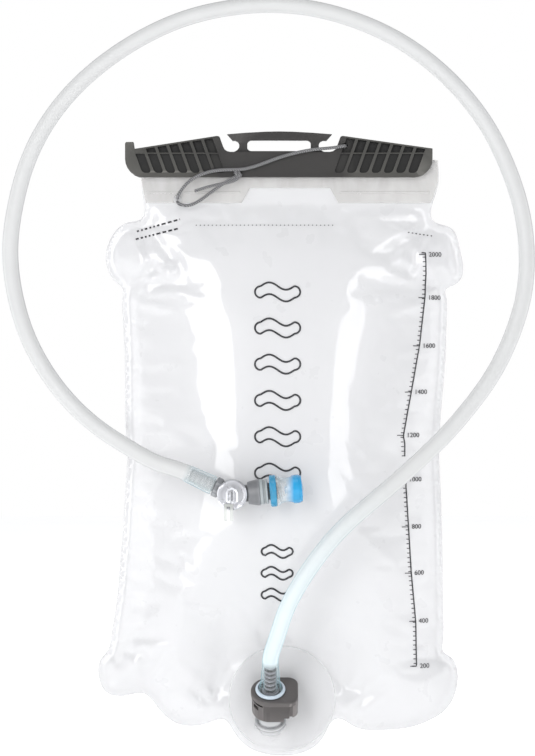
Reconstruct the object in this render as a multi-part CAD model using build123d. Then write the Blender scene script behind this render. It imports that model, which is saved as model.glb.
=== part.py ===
from build123d import *
import math
import os

# Hydration bladder: a soft two-litre water reservoir that hangs from a slide
# closure, with a quick-release drinking hose, a rotary shut-off and a bite
# valve.  Millimetres.  X runs to the right, Z up, and the front of the bag
# faces -Y.  The origin is the centre of the hanger slot in the closure.

os.makedirs("parts", exist_ok=True)

# ------------------------------------------------------------ shared dimensions
FILM_T = 0.4              # thickness of one film panel at the weld
EYELET = (-60.9, -32.4)   # X and Z of the tether hole in the neck
EYELET_R = 2.4

PORT_TILT = 38.0          # port axis, measured out of the plane of the bag
PORT_TOP = Vector(-5.2, -28.6, -324.0)    # centre of the coupler's top face
NECK_BASE = 35.0          # port axis length from coupler top to the flange
PLUG_R = 6.0

HOSE_OR = 4.75
HOSE_IR = 3.2
BARB_LEN = 19.3           # coupler barb, above the coupler top
BARB_R = 4.0
STRETCH_OR = 5.5          # hose stretched over a barb
STRETCH_IR = BARB_R + 0.12

VALVE_CENTRE = Vector(-27.7, -44.0, -207.6)   # rotary shut-off
HOSE_DIP = 25.0           # hose end points this far below level
MOUTH_RISE = 4.8          # bite valve points this far above level
VALVE_BORE_R = 2.4


# ------------------------------------------------------------ axes and frames
def tilted(degrees):
    """Unit vector in the XZ plane, this far above +X."""
    angle = math.radians(degrees)
    return Vector(math.cos(angle), 0, math.sin(angle))


def frame(origin, x_dir, z_dir):
    return Plane(origin=origin, x_dir=Vector(*x_dir), z_dir=z_dir).location


PORT_AXIS = Vector(0, -math.sin(math.radians(PORT_TILT)), math.cos(math.radians(PORT_TILT)))
HOSE_AXIS = tilted(-HOSE_DIP)
MOUTH_AXIS = tilted(MOUTH_RISE)
HOSE_MEETS_BARB = VALVE_CENTRE - HOSE_AXIS * 27.5

PORT = frame(PORT_TOP, (1, 0, 0), PORT_AXIS)                # local Z up the hose
HOSE_END = frame(HOSE_MEETS_BARB, (0, 1, 0), HOSE_AXIS)     # local Z towards the valve
VALVE = frame(VALVE_CENTRE, (1, 0, 0), Vector(0, -1, 0))    # local Z towards the front
VALVE_OUT = frame(VALVE_CENTRE, (0, 1, 0), MOUTH_AXIS)      # local Z towards the mouth
FLOW = frame(VALVE_CENTRE, (0, 1, 0), (HOSE_AXIS + MOUTH_AXIS).normalized())


# --------------------------------------------------------------------- helpers
def save(name, *shapes):
    """Write all the solids of one piece to its STEP file."""
    solids = [solid for shape in shapes for solid in shape.solids()]
    piece = solids[0] if len(solids) == 1 else Compound(solids)
    export_step(piece, f"parts/{name}.step")


def slab(outline, y0, y1):
    """Outline in X and Z, extruded from y0 to y1."""
    face = Face(Wire.make_polygon([Vector(x, y0, z) for x, z in outline], close=True))
    return Solid.extrude(face, Vector(0, y1 - y0, 0))


def turned(profile, place):
    """Turned piece: (radius, height) points spun about the local Z axis."""
    face = Face(Wire.make_polygon([Vector(r, 0, z) for r, z in profile], close=True))
    return place * Solid.revolve(face, 360, Axis.Z)


def block(x0, x1, y0, y1, z0, z1):
    """Box between two limits on each axis, given in either order."""
    centre = Pos((x0 + x1) / 2, (y0 + y1) / 2, (z0 + z1) / 2)
    return centre * Box(abs(x1 - x0), abs(y1 - y0), abs(z1 - z0))


def y_rod(x, z, radius, length):
    """Cylinder along Y, centred on y = 0."""
    return Pos(x, 0, z) * Rot(90, 0, 0) * Cylinder(radius, length)


def rod_along(points, radius, pieces):
    """Round rod along a smooth path, its skin laid in short lengths."""
    edge = Edge.make_spline([Vector(*p) for p in points])
    plane = Plane(origin=edge.position_at(0), z_dir=edge.tangent_at(0))
    path = Wire([edge.trim(k / pieces, (k + 1) / pieces) for k in range(pieces)])
    return Solid.sweep(Face(Wire([Edge.make_circle(radius, plane)])), path)


def hose_along(points, pieces):
    """Outer and inner hose skins joined by a flat ring at each end."""
    start = Vector(*points[0])
    skins, caps = [], []
    for radius in (HOSE_OR, HOSE_IR):
        faces = rod_along(points, radius, pieces).faces()
        skins += [f for f in faces if f.geom_type != GeomType.PLANE]
        flat = [f for f in faces if f.geom_type == GeomType.PLANE]
        caps.append(sorted(flat, key=lambda f: (f.center() - start).length))
    rings = [Face(outer.outer_wire(), [inner.outer_wire()]) for outer, inner in zip(*caps)]
    return Solid(Shell(skins + rings))


def coil_spring(pitch, height, radius, wire_r):
    coil = Helix(pitch=pitch, height=height, radius=radius)
    plane = Plane(origin=coil.position_at(0), z_dir=coil.tangent_at(0))
    wire_end = Face(Wire([Edge.make_circle(wire_r, plane)]))
    return Solid.sweep(wire_end, Wire([coil]), is_frenet=True)


def barb_teeth(start, stop, pitch, rise, root_r):
    """Saw-tooth profile: each tooth rises sharply, then tapers to its root."""
    points = []
    z = start
    while z < stop:
        points += [(BARB_R, z + rise), (root_r, z + pitch - 0.1)]
        z += pitch
    return points


EYELET_DRILL = y_rod(*EYELET, EYELET_R, 20)

# ------------------------------------------------------------------- the films
WALL_T = 0.6              # wall of the filled pillow
BAG_DEPTH = 26.0          # greatest bulge of each panel when full

# X, Z outline of both panels, clockwise from the top left of the neck.  The
# corners stand out as ears and the port sits in a round lobe.
PANEL_OUTLINE = [
    (-82.6, -8.0), (95.6, -8.0), (96.0, -22.0), (94.2, -29.0), (91.7, -35.4), (90.6, -41.7),
    (91.4, -45.3), (94.0, -46.8), (99.4, -47.3), (103.2, -48.7), (105.6, -50.6),
    (107.4, -56.4), (109.2, -64.8), (110.9, -73.0), (110.6, -78.0), (107.6, -82.4),
    (102.4, -84.7), (98.2, -85.6), (99.6, -87.8), (101.2, -92.0), (100.6, -104.4),
    (99.9, -128.4), (98.6, -144.0), (97.1, -160.6), (96.0, -182.4), (96.4, -196.0),
    (97.3, -212.4), (98.1, -248.4), (98.5, -270.9), (98.9, -290.4), (98.3, -299.4),
    (97.2, -304.2), (101.0, -304.8), (105.3, -307.8), (107.4, -314.4), (107.4, -321.0),
    (105.6, -329.4), (102.6, -335.4), (96.6, -341.4), (89.1, -345.2), (81.6, -348.2),
    (73.4, -349.7), (63.6, -350.4), (54.6, -350.8), (47.1, -349.4), (41.9, -346.3),
    (38.1, -343.2), (35.1, -342.1), (32.7, -342.8), (30.4, -346.0), (28.0, -352.0),
    (24.0, -358.0), (17.0, -362.8), (8.0, -365.2), (-3.0, -365.4), (-10.6, -363.8),
    (-16.4, -362.0), (-22.8, -357.0), (-27.6, -351.0), (-29.8, -345.6), (-32.8, -342.2),
    (-37.8, -343.8), (-44.4, -346.8), (-51.0, -348.0), (-57.6, -348.0), (-64.2, -345.5),
    (-70.0, -340.6), (-75.0, -334.0), (-79.0, -328.6), (-83.2, -327.6), (-90.0, -329.4),
    (-96.4, -330.6), (-103.0, -329.0), (-106.7, -324.8), (-108.7, -317.4), (-108.6, -310.8),
    (-107.2, -306.8), (-101.8, -302.6), (-101.4, -298.0), (-99.6, -287.4), (-97.6, -273.6),
    (-95.4, -253.0), (-93.9, -235.6), (-92.5, -212.4), (-91.3, -193.0), (-90.6, -183.6),
    (-92.1, -171.0), (-92.4, -151.2), (-92.5, -128.0), (-93.4, -104.6), (-94.3, -93.2),
    (-93.9, -88.8), (-92.2, -85.6), (-97.4, -82.3), (-100.5, -79.3), (-102.4, -75.5),
    (-104.0, -69.4), (-104.3, -64.8), (-102.4, -57.9), (-99.0, -51.8), (-94.4, -46.9),
    (-89.8, -45.4), (-82.4, -45.1), (-81.0, -43.5), (-80.4, -35.4), (-82.2, -29.4),
]

# height, left edge, right edge, bulge of the filled part
PILLOW = [
    (-38.0, -66, 76, 1.2), (-46.0, -80, 88, 3.2), (-54.0, -91, 98, 6.5),
    (-66.0, -98, 103, 11.0), (-78.0, -95, 104, 15.0), (-88.0, -88, 94, 17.5),
    (-104.0, -88, 95, 20.5), (-130.0, -87.2, 94.4, 23.6), (-165.0, -86.8, 91.6, 25.6),
    (-200.0, -86.6, 91.4, BAG_DEPTH), (-230.0, -88.0, 92.4, 25.0), (-255.0, -90.6, 93.0, 22.6),
    (-275.0, -92.6, 93.4, 18.2), (-288.0, -94.6, 93.6, 13.4), (-299.0, -96.2, 93.6, 9.0),
    (-310.0, -102.6, 101.4, 8.2), (-322.0, -101.0, 100.4, 7.4), (-331.0, -72.0, 96.0, 6.7),
    (-341.0, -60.0, 82.0, 6.0), (-350.0, -22.4, 23.4, 5.2), (-359.0, -11.0, 12.0, 4.2),
]


def pillow_section(z, x_left, x_right, depth, chord_y):
    """Level section: a curve bulging to the front, closed by a chord at chord_y."""
    centre, half_width = (x_left + x_right) / 2, (x_right - x_left) / 2
    points = []
    for i in range(13):
        u = -math.cos(math.pi * i / 12)
        y = chord_y + (-depth - chord_y) * (1 - abs(u) ** 2.4) ** 0.8
        points.append(Vector(centre + half_width * u, y, z))
    return Wire([Edge.make_spline(points), Edge.make_line(points[-1], points[0])])


def pillow(rows, chord_y):
    return Solid.make_loft([pillow_section(*row, chord_y) for row in rows], ruled=True)


def film_panel():
    """Front panel with its eyelet, before the port hole is cut."""
    outer = pillow(PILLOW, -0.2)
    # the cavity is narrower and shallower, and stops short at top and bottom
    end_shift = [-1.5] + [0] * (len(PILLOW) - 2) + [1.5]
    cavity_rows = [(z + shift, left + 0.9, right - 0.9, depth - WALL_T)
                   for (z, left, right, depth), shift in zip(PILLOW, end_shift)]
    cavity = pillow(cavity_rows, 0.6)
    return slab(PANEL_OUTLINE, 0, -FILM_T) + outer - cavity - EYELET_DRILL


panel = film_panel()
save("front_film", panel - PORT * Pos(0, 0, -NECK_BASE) * Cylinder(6.4, 16))
save("back_film", panel.mirror(Plane.XZ))

# ----------------------------------------------------------------- mouth rails
RAIL_L, RAIL_R = -82.6, 95.4
RAIL_TOP, RAIL_BOTTOM = -8.4, -34.2
NOTCH_L, NOTCH_R, NOTCH_TOP = -17.4, 30.6, -25.2   # notch in the lower edge
RAIL_T = 1.3
BEAD_T = 2.7
RAIL_GAP = 0.02           # clearance between film and rail

RAIL_OUTLINE = [
    (RAIL_L, RAIL_TOP), (RAIL_R, RAIL_TOP), (RAIL_R, -21.0), (92.4, RAIL_BOTTOM + 3.0),
    (91.0, RAIL_BOTTOM), (NOTCH_R + 5, RAIL_BOTTOM), (NOTCH_R, NOTCH_TOP), (NOTCH_L, NOTCH_TOP),
    (NOTCH_L - 5, RAIL_BOTTOM), (-80.0, RAIL_BOTTOM), (RAIL_L, -21.0),
]


def mouth_rail(side):
    """Clear stiffening strip welded outside the neck, with a bead on its top
    edge that the slide closure grips.  side is -1 for front, +1 for rear."""
    film_y = side * (FILM_T + RAIL_GAP)
    strip = slab(RAIL_OUTLINE, film_y, side * (FILM_T + RAIL_T))
    bead = block(RAIL_L, RAIL_R, film_y, side * (FILM_T + BEAD_T), -13.6, RAIL_TOP)
    ridge = block(RAIL_L + 3, RAIL_R - 5, film_y, side * (FILM_T + RAIL_T + 0.4), -28.6, -27.4)
    ridge_gap = block(NOTCH_L - 6, NOTCH_R + 6, -9, 9, -29.5, -26.5)
    return strip + bead + (ridge - ridge_gap) - EYELET_DRILL


save("front_mouth_rail", mouth_rail(-1))
save("rear_mouth_rail", mouth_rail(1))

# --------------------------------------------------------------- slide closure
CLOSURE_L = -92.2         # closed end
CLOSURE_R = 91.9          # open end
CLOSURE_BOTTOM = -19.0
CLOSURE_TOP = -3.8        # top of the plain middle panel
CLOSURE_HALF = 5.5        # half thickness, front to back
CHANNEL_HALF = 3.5        # half width of the channel that holds the rails
CHANNEL_TOP = -6.6
LIP_HALF = 2.1            # half width of the gap between the channel lips
LIP_Z = -15.2             # top of the channel lips
END_WALL = 5.2            # closed end wall
CORNER_R = 11.0

HANDLE_HALF = 2.6         # half thickness, front to back
HANDLE_FOOT = -5.0
SLOT_W, SLOT_H = 38.4, 6.4
SLOT_FILLET = 2.7
CORD_HOLE = (39.6, -0.2)  # X and Z where the tether passes through the closure

# X, Z along the top edge from the right end to the left end
TOP_EDGE = [
    (CLOSURE_R, -1.8), (38.6, 5.7), (37.4, 5.6), (36.7, 5.0), (34.6, -0.8), (33.7, -2.4),
    (32.3, -3.4), (30.4, CLOSURE_TOP), (-29.2, CLOSURE_TOP), (-31.1, -3.4), (-32.5, -2.4),
    (-33.4, -0.8), (-35.5, 5.0), (-36.2, 5.6), (-37.4, 5.7), (-86.6, -2.0), (-87.2, 2.1),
    (-91.4, 2.1),
]
# X, Z of the arched bar over the slot
BAR_OUTLINE = [
    (-31.2, 6.9), (-20, 7.8), (-8, 8.45), (0, 8.6), (8, 8.45), (20, 7.8), (31.8, 6.9),
    (28.4, 3.0), (19.6, SLOT_H / 2), (-19.2, SLOT_H / 2), (-27.8, 3.0),
]
# X, Z of the right-hand strut; the left one is its mirror image
STRUT_OUTLINE = [
    (19.0, HANDLE_FOOT), (19.0, 4.0), (27.0, 4.0), (25.9, 2.9), (24.6, 2.2), (24.0, 1.2),
    (23.8, 0.0), (24.0, -1.2), (24.8, -2.4), (26.2, -3.3), (28.0, -3.9), (28.0, HANDLE_FOOT),
]

POCKET_W = 5.45
POCKET_PITCH = 7.35
POCKET_SLOPE = math.tan(math.radians(20.0))   # pockets lean outwards
POCKET_FOOT = -16.4       # bottom of the lower pockets
POCKET_CORNER = 2.0
POCKET_RIM = 1.0          # wall between the upper pockets and the wing's top
BAND_Z, BAND_HALF = -4.6, 0.35     # solid band between lower and upper pockets
FIRST_POCKET = {-1: 35.0, 1: 35.6}   # distance of the first foot from x = 0
LOW_DEPTH, HIGH_DEPTH = 1.3, 2.8

# straight lines that the tops of the upper pockets follow
LEFT_WING = ((-86.6, -2.0), (-37.2, 5.7))
RIGHT_WING = ((38.4, 5.7), (CLOSURE_R, -1.8))


def hanger_handle():
    """Arched bar on two struts, with fillets in the corners of the slot."""
    handle = slab(BAR_OUTLINE, -HANDLE_HALF, HANDLE_HALF)
    for side in (-1, 1):
        handle += slab([(side * x, z) for x, z in STRUT_OUTLINE], -HANDLE_HALF, HANDLE_HALF)
    handle += block(-20, 20, -HANDLE_HALF, HANDLE_HALF, HANDLE_FOOT, -SLOT_H / 2)
    for side in (-1, 1):
        for level in (-1, 1):
            x, z = side * SLOT_W / 2, level * SLOT_H / 2
            x_in, z_in = x - side * SLOT_FILLET, z - level * SLOT_FILLET
            corner = block(x, x_in, -HANDLE_HALF, HANDLE_HALF, z, z_in)
            corner -= y_rod(x_in, z_in, SLOT_FILLET, 20)
            handle += corner
    return handle


def wing_top(x):
    (x0, z0), (x1, z1) = LEFT_WING if x < 0 else RIGHT_WING
    return z0 + (x - x0) / (x1 - x0) * (z1 - z0)


def pocket_outlines(side, foot):
    """Lower and upper leaning pocket outlines above one foot, where they fit."""
    def centre(z):
        return foot + side * POCKET_SLOPE * (z - POCKET_FOOT)

    def edge(offset, z):
        return (centre(z) + offset, z)

    half = POCKET_W / 2
    low = []
    for first_angle, inset in ((180, POCKET_CORNER - half), (270, half - POCKET_CORNER)):
        for k in range(7):
            angle = math.radians(first_angle + 15 * k)
            z = POCKET_FOOT + POCKET_CORNER + POCKET_CORNER * math.sin(angle)
            low.append(edge(inset + POCKET_CORNER * math.cos(angle), z))
    low_top = BAND_Z - BAND_HALF
    low += [edge(half, low_top), edge(-half, low_top)]

    # close in on where each leaning edge meets the slope of the wing
    right = left = 0.0
    for _ in range(12):
        right = wing_top(centre(right) + half) - POCKET_RIM
        left = wing_top(centre(left) - half) - POCKET_RIM
    high_foot = BAND_Z + BAND_HALF
    high = [edge(-half, high_foot), edge(half, high_foot), edge(half, right), edge(-half, left)]

    outlines = [(low, LOW_DEPTH)]
    if min(right, left) - high_foot >= 0.5:
        outlines.append((high, HIGH_DEPTH))
    return [(outline, depth) for outline, depth in outlines
            if max(x for x, z in outline) <= CLOSURE_R - 1.4
            and min(x for x, z in outline) >= CLOSURE_L + 5.9]


def slide_closure():
    angles = [math.radians(v) for v in range(0, 91, 15)]
    arc_z = CLOSURE_BOTTOM + CORNER_R
    left_corner = [(CLOSURE_L + CORNER_R - CORNER_R * math.cos(t), arc_z - CORNER_R * math.sin(t))
                   for t in angles]
    right_corner = [(CLOSURE_R - CORNER_R + CORNER_R * math.sin(t), arc_z - CORNER_R * math.cos(t))
                    for t in angles]
    outline = [(CLOSURE_L, 1.4)] + left_corner + right_corner + TOP_EDGE
    closure = slab(outline, -CLOSURE_HALF, CLOSURE_HALF) + hanger_handle()

    # channel for the two rails, closed at the left end and open at the right
    x0, x1 = CLOSURE_L + END_WALL, CLOSURE_R + 5
    closure -= block(x0, x1, -CHANNEL_HALF, CHANNEL_HALF, LIP_Z, CHANNEL_TOP)
    closure -= block(x0, x1, -LIP_HALF, LIP_HALF, CLOSURE_BOTTOM - 2, LIP_Z + 1)

    for side in (-1, 1):
        for i in range(8):
            foot = side * (FIRST_POCKET[side] + i * POCKET_PITCH)
            for pocket, depth in pocket_outlines(side, foot):
                for face in (-1, 1):
                    closure -= slab(pocket, face * (CLOSURE_HALF + 1),
                                    face * (CLOSURE_HALF - depth))
    return closure - y_rod(*CORD_HOLE, 1.7, 30)


save("slide_closure", slide_closure())

# ----------------------------------------------------------------- tether cord
CORD_R = 0.95

# X, Y, Z from behind the closure, forward through its hole, down to the neck,
# through the eyelet and back on itself
CORD_LOOP = [
    (39.6, 8.6, -0.2), (39.6, 4.0, -0.2), (39.6, -3.0, -0.2), (39.0, -7.4, -0.4),
    (34.0, -8.6, -1.3), (21.0, -8.4, -2.6), (10.2, -8.2, -4.6), (-3.0, -8.2, -8.5),
    (-13.0, -8.4, -12.2), (-22.0, -8.6, -14.4), (-33.6, -8.4, -14.8), (-46.2, -8.2, -17.4),
    (-53.7, -7.4, -21.6), (-58.4, -6.2, -26.8), (-60.6, -4.2, -30.4), (-60.9, 0.0, -31.3),
    (-60.9, 3.6, -31.2), (-60.9, 6.0, -32.4), (-60.9, 3.6, -33.8), (-60.9, 0.0, -33.6),
    (-60.2, -3.4, -34.6), (-55.4, -5.6, -36.0), (-47.8, -6.4, -33.2), (-37.8, -7.0, -26.0),
    (-31.4, -7.4, -21.8), (-23.4, -7.8, -17.4),
]
# X, Y, Z of a short separate strand in front of the neck
CORD_STRAND = [(-24.6, -7.8, -19.6), (-33.6, -7.6, -22.9), (-44.0, -7.2, -25.4),
               (-50.4, -6.6, -27.4)]

save("tether_cord", rod_along(CORD_LOOP, CORD_R, 16), rod_along(CORD_STRAND, CORD_R, 3))

# ----------------------------------------------------------------- port flange
DISC_CENTRE = Vector(1.8, -8.5, -331.0)
DISC_R = 32.0
DISC_T = 1.5
DISC_LEAN = math.radians(4.0)      # disc faces this far below the front

# (radius, height) profiles along the port axis
NECK_PROFILE = [
    (0, -NECK_BASE - 3), (5.5, -NECK_BASE - 3), (5.5, -33.4), (6.6, -32.6), (6.6, -30.4),
    (7.4, -29.8), (7.4, -28.0), (9.3, -26.8), (9.3, -24.6), (7.2, -23.8), (7.2, -17.4),
    (8.4, -17.0), (8.4, -16.1), (PLUG_R, -16.1), (PLUG_R, -13.2), (4.9, -13.2), (4.9, -11.2),
    (PLUG_R, -11.2), (PLUG_R, -8.9), (4.7, -8.7), (4.7, -6.3), (PLUG_R, -6.1),
    (PLUG_R - 0.4, -5.0), (0, -5.0),
]
NECK_BORE = [(0, -NECK_BASE - 8), (3.0, -NECK_BASE - 8), (3.0, -22.0), (4.4, -22.0),
             (4.4, -7.0), (3.0, -7.0), (3.0, -4.0), (0, -4.0)]
POPPET_HEAD = [(0, -12.0), (3.9, -12.0), (3.9, -10.6), (2.6, -10.6), (2.6, -10.2),
               (1.4, -10.0), (1.4, -5.6), (0, -5.6)]
POPPET_STEM = [(0, -15.0), (1.9, -15.0), (1.9, -11.9), (0, -11.9)]


def port_flange():
    """Clear disc welded to the bag, with a stepped neck that leans forward and
    carries the plug of the quick-release coupling."""
    place = frame(DISC_CENTRE, (1, 0, 0),
                  Vector(0, -math.cos(DISC_LEAN), -math.sin(DISC_LEAN)))
    disc = turned([(0, -DISC_T), (DISC_R - 0.6, -DISC_T), (DISC_R, -DISC_T + 0.6),
                   (DISC_R - 0.5, 0), (0, 0)], place)
    neck = turned(NECK_PROFILE, PORT)
    behind_disc = place * Pos(0, 0, -DISC_T - 10) * Box(90, 90, 20)
    flange = disc + (neck - behind_disc)
    return flange - turned(NECK_BORE, PORT)


save("port_flange", port_flange())
save("plug_oring", PORT * Pos(0, 0, -12.2) * Torus(5.75, 0.78))
# the poppet shuts the port when the hose is pulled off
save("port_poppet", turned(POPPET_HEAD, PORT) + turned(POPPET_STEM, PORT))
save("poppet_seal", PORT * Pos(0, 0, -10.15) * Torus(3.25, 0.42))
save("poppet_spring", PORT * Pos(0, 0, -21.3) * coil_spring(1.6, 8.6, 3.3, 0.3))

# --------------------------------------------------------------------- coupler
# Built in the port frame: z = 0 is the top face, the button is on the +X side.
COUPLER_R = 11.6
COUPLER_H = 15.8
CAP_BOTTOM = -3.0
BUTTON_X = 16.4           # reach of the button block from the port axis
BUTTON_TRAVEL = 1.6
BUTTON_BACK = 11.5 + BUTTON_TRAVEL   # inner face of the button block
BAY_BOTTOM = -13.4        # bottom of the space for the button
LATCH_Z = -7.5            # middle of the latch plate
LATCH_HOLE_R = PLUG_R + 0.15
LATCH_SPRING_Z = -11.0
SPRING_POCKET_R = 1.6

# (radius, height): foot held in the coupler, then the toothed stem
BARB_FOOT = [
    (0, -4.9), (2.9, -4.9), (3.0, -4.5), (3.9, -3.9), (3.9, -3.3), (3.38, -3.3), (3.38, -2.9),
    (2.9, -2.9), (2.9, -1.9), (3.38, -1.9), (3.38, -1.3), (5.0, -1.3), (5.0, 0.3), (3.5, 0.3),
    (3.5, 2.0),
]
BARB_TIP = [(3.3, BARB_LEN - 0.4), (3.0, BARB_LEN), (0, BARB_LEN)]
COLLAR_PROFILE = [(7.2, 0.1), (8.6, 0.1), (8.95, 0.5), (8.8, 1.3), (8.3, 1.9), (7.7, 2.1),
                  (7.2, 2.0)]


def d_shape(reach, radius, corner, z0, z1):
    """Round on the left, squared with rounded corners on the button side."""
    def at(x, y):
        return Vector(x, y, z0)

    inset = corner * (1 - math.sqrt(0.5))    # middle of a rounded corner
    flat_x, flat_y = reach - corner, radius - corner
    arc, line = Edge.make_three_point_arc, Edge.make_line
    edges = [
        arc(at(0, radius), at(-radius, 0), at(0, -radius)),
        line(at(0, -radius), at(flat_x, -radius)),
        arc(at(flat_x, -radius), at(reach - inset, -radius + inset), at(reach, -flat_y)),
        line(at(reach, -flat_y), at(reach, flat_y)),
        arc(at(reach, flat_y), at(reach - inset, radius - inset), at(flat_x, radius)),
        line(at(flat_x, radius), at(0, radius)),
    ]
    return Solid.extrude(Face(Wire(edges)), Vector(0, 0, z1 - z0))


def coupler_body():
    cap = d_shape(BUTTON_X, COUPLER_R, 6.0, CAP_BOTTOM, 0.0)
    cap = cap.chamfer(0.6, None, [e for e in cap.edges() if abs(e.center().Z) < 1e-6])
    body = cap + d_shape(BUTTON_X - 0.5, COUPLER_R - 0.7, 5.6, -COUPLER_H, CAP_BOTTOM)
    body -= block(8.0, 30, -20, 20, -30, -12.9)
    body -= Pos(0, 0, -13.6) * Cylinder(6.75, 20.8)        # socket for the plug
    body -= Pos(0, 0, -17.0) * Cylinder(8.7, 4.0)          # wide mouth of the socket
    body -= Pos(0, 0, -0.4) * Cylinder(5.2, 2.0)           # seat of the hose barb
    body -= Pos(0, 0, -2.6) * Cylinder(3.5, 4.0)
    body -= block(11.4, 30, -20, 20, BAY_BOTTOM, CAP_BOTTOM)           # room for the button
    body -= block(-9.9, 12, -8.2, 8.2, LATCH_Z - 1.4, LATCH_Z + 1.4)   # latch plate slot
    # curved relief slot under the cap
    relief = Pos(0, 0, -4.5) * (Cylinder(13.0, 1.2) - Cylinder(9.3, 2.0))
    body -= relief & block(-14.0, -4.6, -14.0, -0.6, -6.0, -3.0)
    for side in (-1, 1):                                   # slots for the button's skirts
        body -= block(7.4, 12.0, side * 8.45, side * 9.75, BAY_BOTTOM, CAP_BOTTOM)
    body -= Pos(9.6, 0, LATCH_SPRING_Z) * Rot(0, 90, 0) * Cylinder(SPRING_POCKET_R, 4.6)
    return PORT * body


def latch_button():
    button = d_shape(BUTTON_X - 0.1, COUPLER_R - 0.9, 5.4, -12.6, -3.3)
    button -= block(-30, BUTTON_BACK, -20, 20, -30, 5)
    # latch plate, in two overlapping lengths
    for x0, x1 in ((8.6, BUTTON_BACK + 0.5), (-7.6, 9.0)):
        button = button + block(x0, x1, -7.4, 7.4, LATCH_Z - 1.1, LATCH_Z + 1.1)
    for side in (-1, 1):                                   # skirts
        button += block(9.4, 14.0, side * 8.6, side * 9.6, -12.5, -3.4)
    # hole for the plug, lengthened by the travel
    slot_middle = Pos(BUTTON_TRAVEL / 2, 0, 0) * Box(BUTTON_TRAVEL, 2 * LATCH_HOLE_R, 4.0)
    button -= Pos(0, 0, LATCH_Z) * (Cylinder(LATCH_HOLE_R, 4.0) + slot_middle +
                                    Pos(BUTTON_TRAVEL, 0, 0) * Cylinder(LATCH_HOLE_R, 4.0))
    for k in range(-2, 3):                                 # grooves in the outer face
        button -= Pos(BUTTON_X - 0.1, k * 2.2, -8.0) * Cylinder(0.45, 6.0)
    button -= Pos(13.6, 0, LATCH_SPRING_Z) * Rot(0, 90, 0) * Cylinder(SPRING_POCKET_R, 2.0)
    return PORT * button


def coupler_barb():
    """Barb that turns in the coupler and carries the hose."""
    teeth = barb_teeth(2.0, BARB_LEN - 3.4, 3.2, 0.4, 3.45)
    return turned(BARB_FOOT + teeth + BARB_TIP, PORT) - PORT * Pos(0, 0, 7) * Cylinder(2.2, 30)


save("coupler_body", coupler_body())
save("latch_button", latch_button())
save("latch_spring", PORT * Pos(8.2, 0, LATCH_SPRING_Z) * Rot(0, 90, 0)
     * coil_spring(0.95, 5.6, 1.25, 0.2))
save("coupler_barb", coupler_barb())
save("swivel_oring", PORT * Pos(0, 0, -2.4) * Torus(3.2, 0.27))
save("hose_collar", turned(COLLAR_PROFILE, PORT))

# ------------------------------------------------------------------------ hose
STRETCH_TOP = BARB_LEN + 1.5       # where the lower hose leaves its barb
LOWER_START = PORT_TOP + PORT_AXIS * STRETCH_TOP

# X, Y, Z from the coupler up the right side to the top of the loop
LOWER_PATH = [
    LOWER_START, LOWER_START + PORT_AXIS * 3, (-1.8, -49.2, -292.6), (4.2, -54.2, -274.6),
    (10.6, -55.4, -262.0), (20.4, -55.2, -247.0), (36.6, -54.0, -227.6), (51.0, -52.0, -214.6),
    (66.6, -49.8, -201.6), (82.0, -47.6, -187.8), (96.6, -45.4, -173.8), (109.4, -43.0, -159.4),
    (125.0, -39.6, -138.4), (137.0, -36.2, -114.7), (144.7, -33.0, -89.1), (146.4, -30.2, -62.4),
    (142.7, -27.6, -36.1), (134.3, -25.4, -11.1), (122.4, -23.6, 12.1), (106.6, -22.2, 32.6),
    (87.8, -21.2, 50.1), (66.5, -20.6, 64.1), (43.2, -20.2, 74.2), (18.6, -20.0, 80.6),
    (-3.6, -20.0, 82.6), (-6.5, -20.0, 82.6),
]
# X, Y, Z from the top of the loop down the left side to the shut-off
UPPER_PATH = [
    (-6.7, -20.0, 82.6), (-9.6, -20.0, 82.6), (-31.8, -20.0, 80.4), (-56.4, -20.0, 74.4),
    (-79.6, -20.0, 64.2), (-101.3, -20.0, 50.5), (-121.0, -20.0, 33.5), (-137.4, -20.2, 13.1),
    (-149.4, -20.6, -10.4), (-156.5, -21.6, -35.9), (-159.6, -23.4, -62.4),
    (-156.8, -26.2, -88.9), (-149.1, -29.6, -114.2), (-136.6, -33.0, -137.0),
    (-121.4, -36.2, -155.6), (-104.6, -39.2, -170.0), (-87.0, -41.4, -181.2),
    (-69.6, -43.2, -190.0), HOSE_MEETS_BARB - HOSE_AXIS * 4.5, HOSE_MEETS_BARB - HOSE_AXIS * 1.5,
]
# (radius, height) profiles of the ends stretched over their barbs
LOWER_END = [
    (STRETCH_IR, 0.4), (7.0, 0.4), (6.9, 1.4), (6.2, 4.0), (5.7, 8.0), (STRETCH_OR - 0.2, 14.0),
    (HOSE_OR, STRETCH_TOP), (HOSE_IR, STRETCH_TOP), (HOSE_IR + 0.15, BARB_LEN + 0.3),
    (STRETCH_IR, BARB_LEN - 1.6),
]
UPPER_END = [
    (HOSE_IR, -1.5), (HOSE_OR, -1.5), (STRETCH_OR - 0.3, 1.2), (STRETCH_OR - 0.1, 8.0),
    (STRETCH_OR + 0.2, 15.6), (STRETCH_IR, 15.6), (STRETCH_IR, 0.6), (HOSE_IR + 0.2, -0.6),
]

save("drink_hose_lower", hose_along(LOWER_PATH, 16), turned(LOWER_END, PORT))
save("drink_hose_upper", hose_along(UPPER_PATH, 12), turned(UPPER_END, HOSE_END))

# ------------------------------------------------------------- rotary shut-off
SPOOL_R = 5.0
VALVE_BODY_R = 8.7
KNOB_R = 8.9
SPOOL_RING_Z = (-3.9, 3.9)         # O-rings, along the spool

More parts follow.
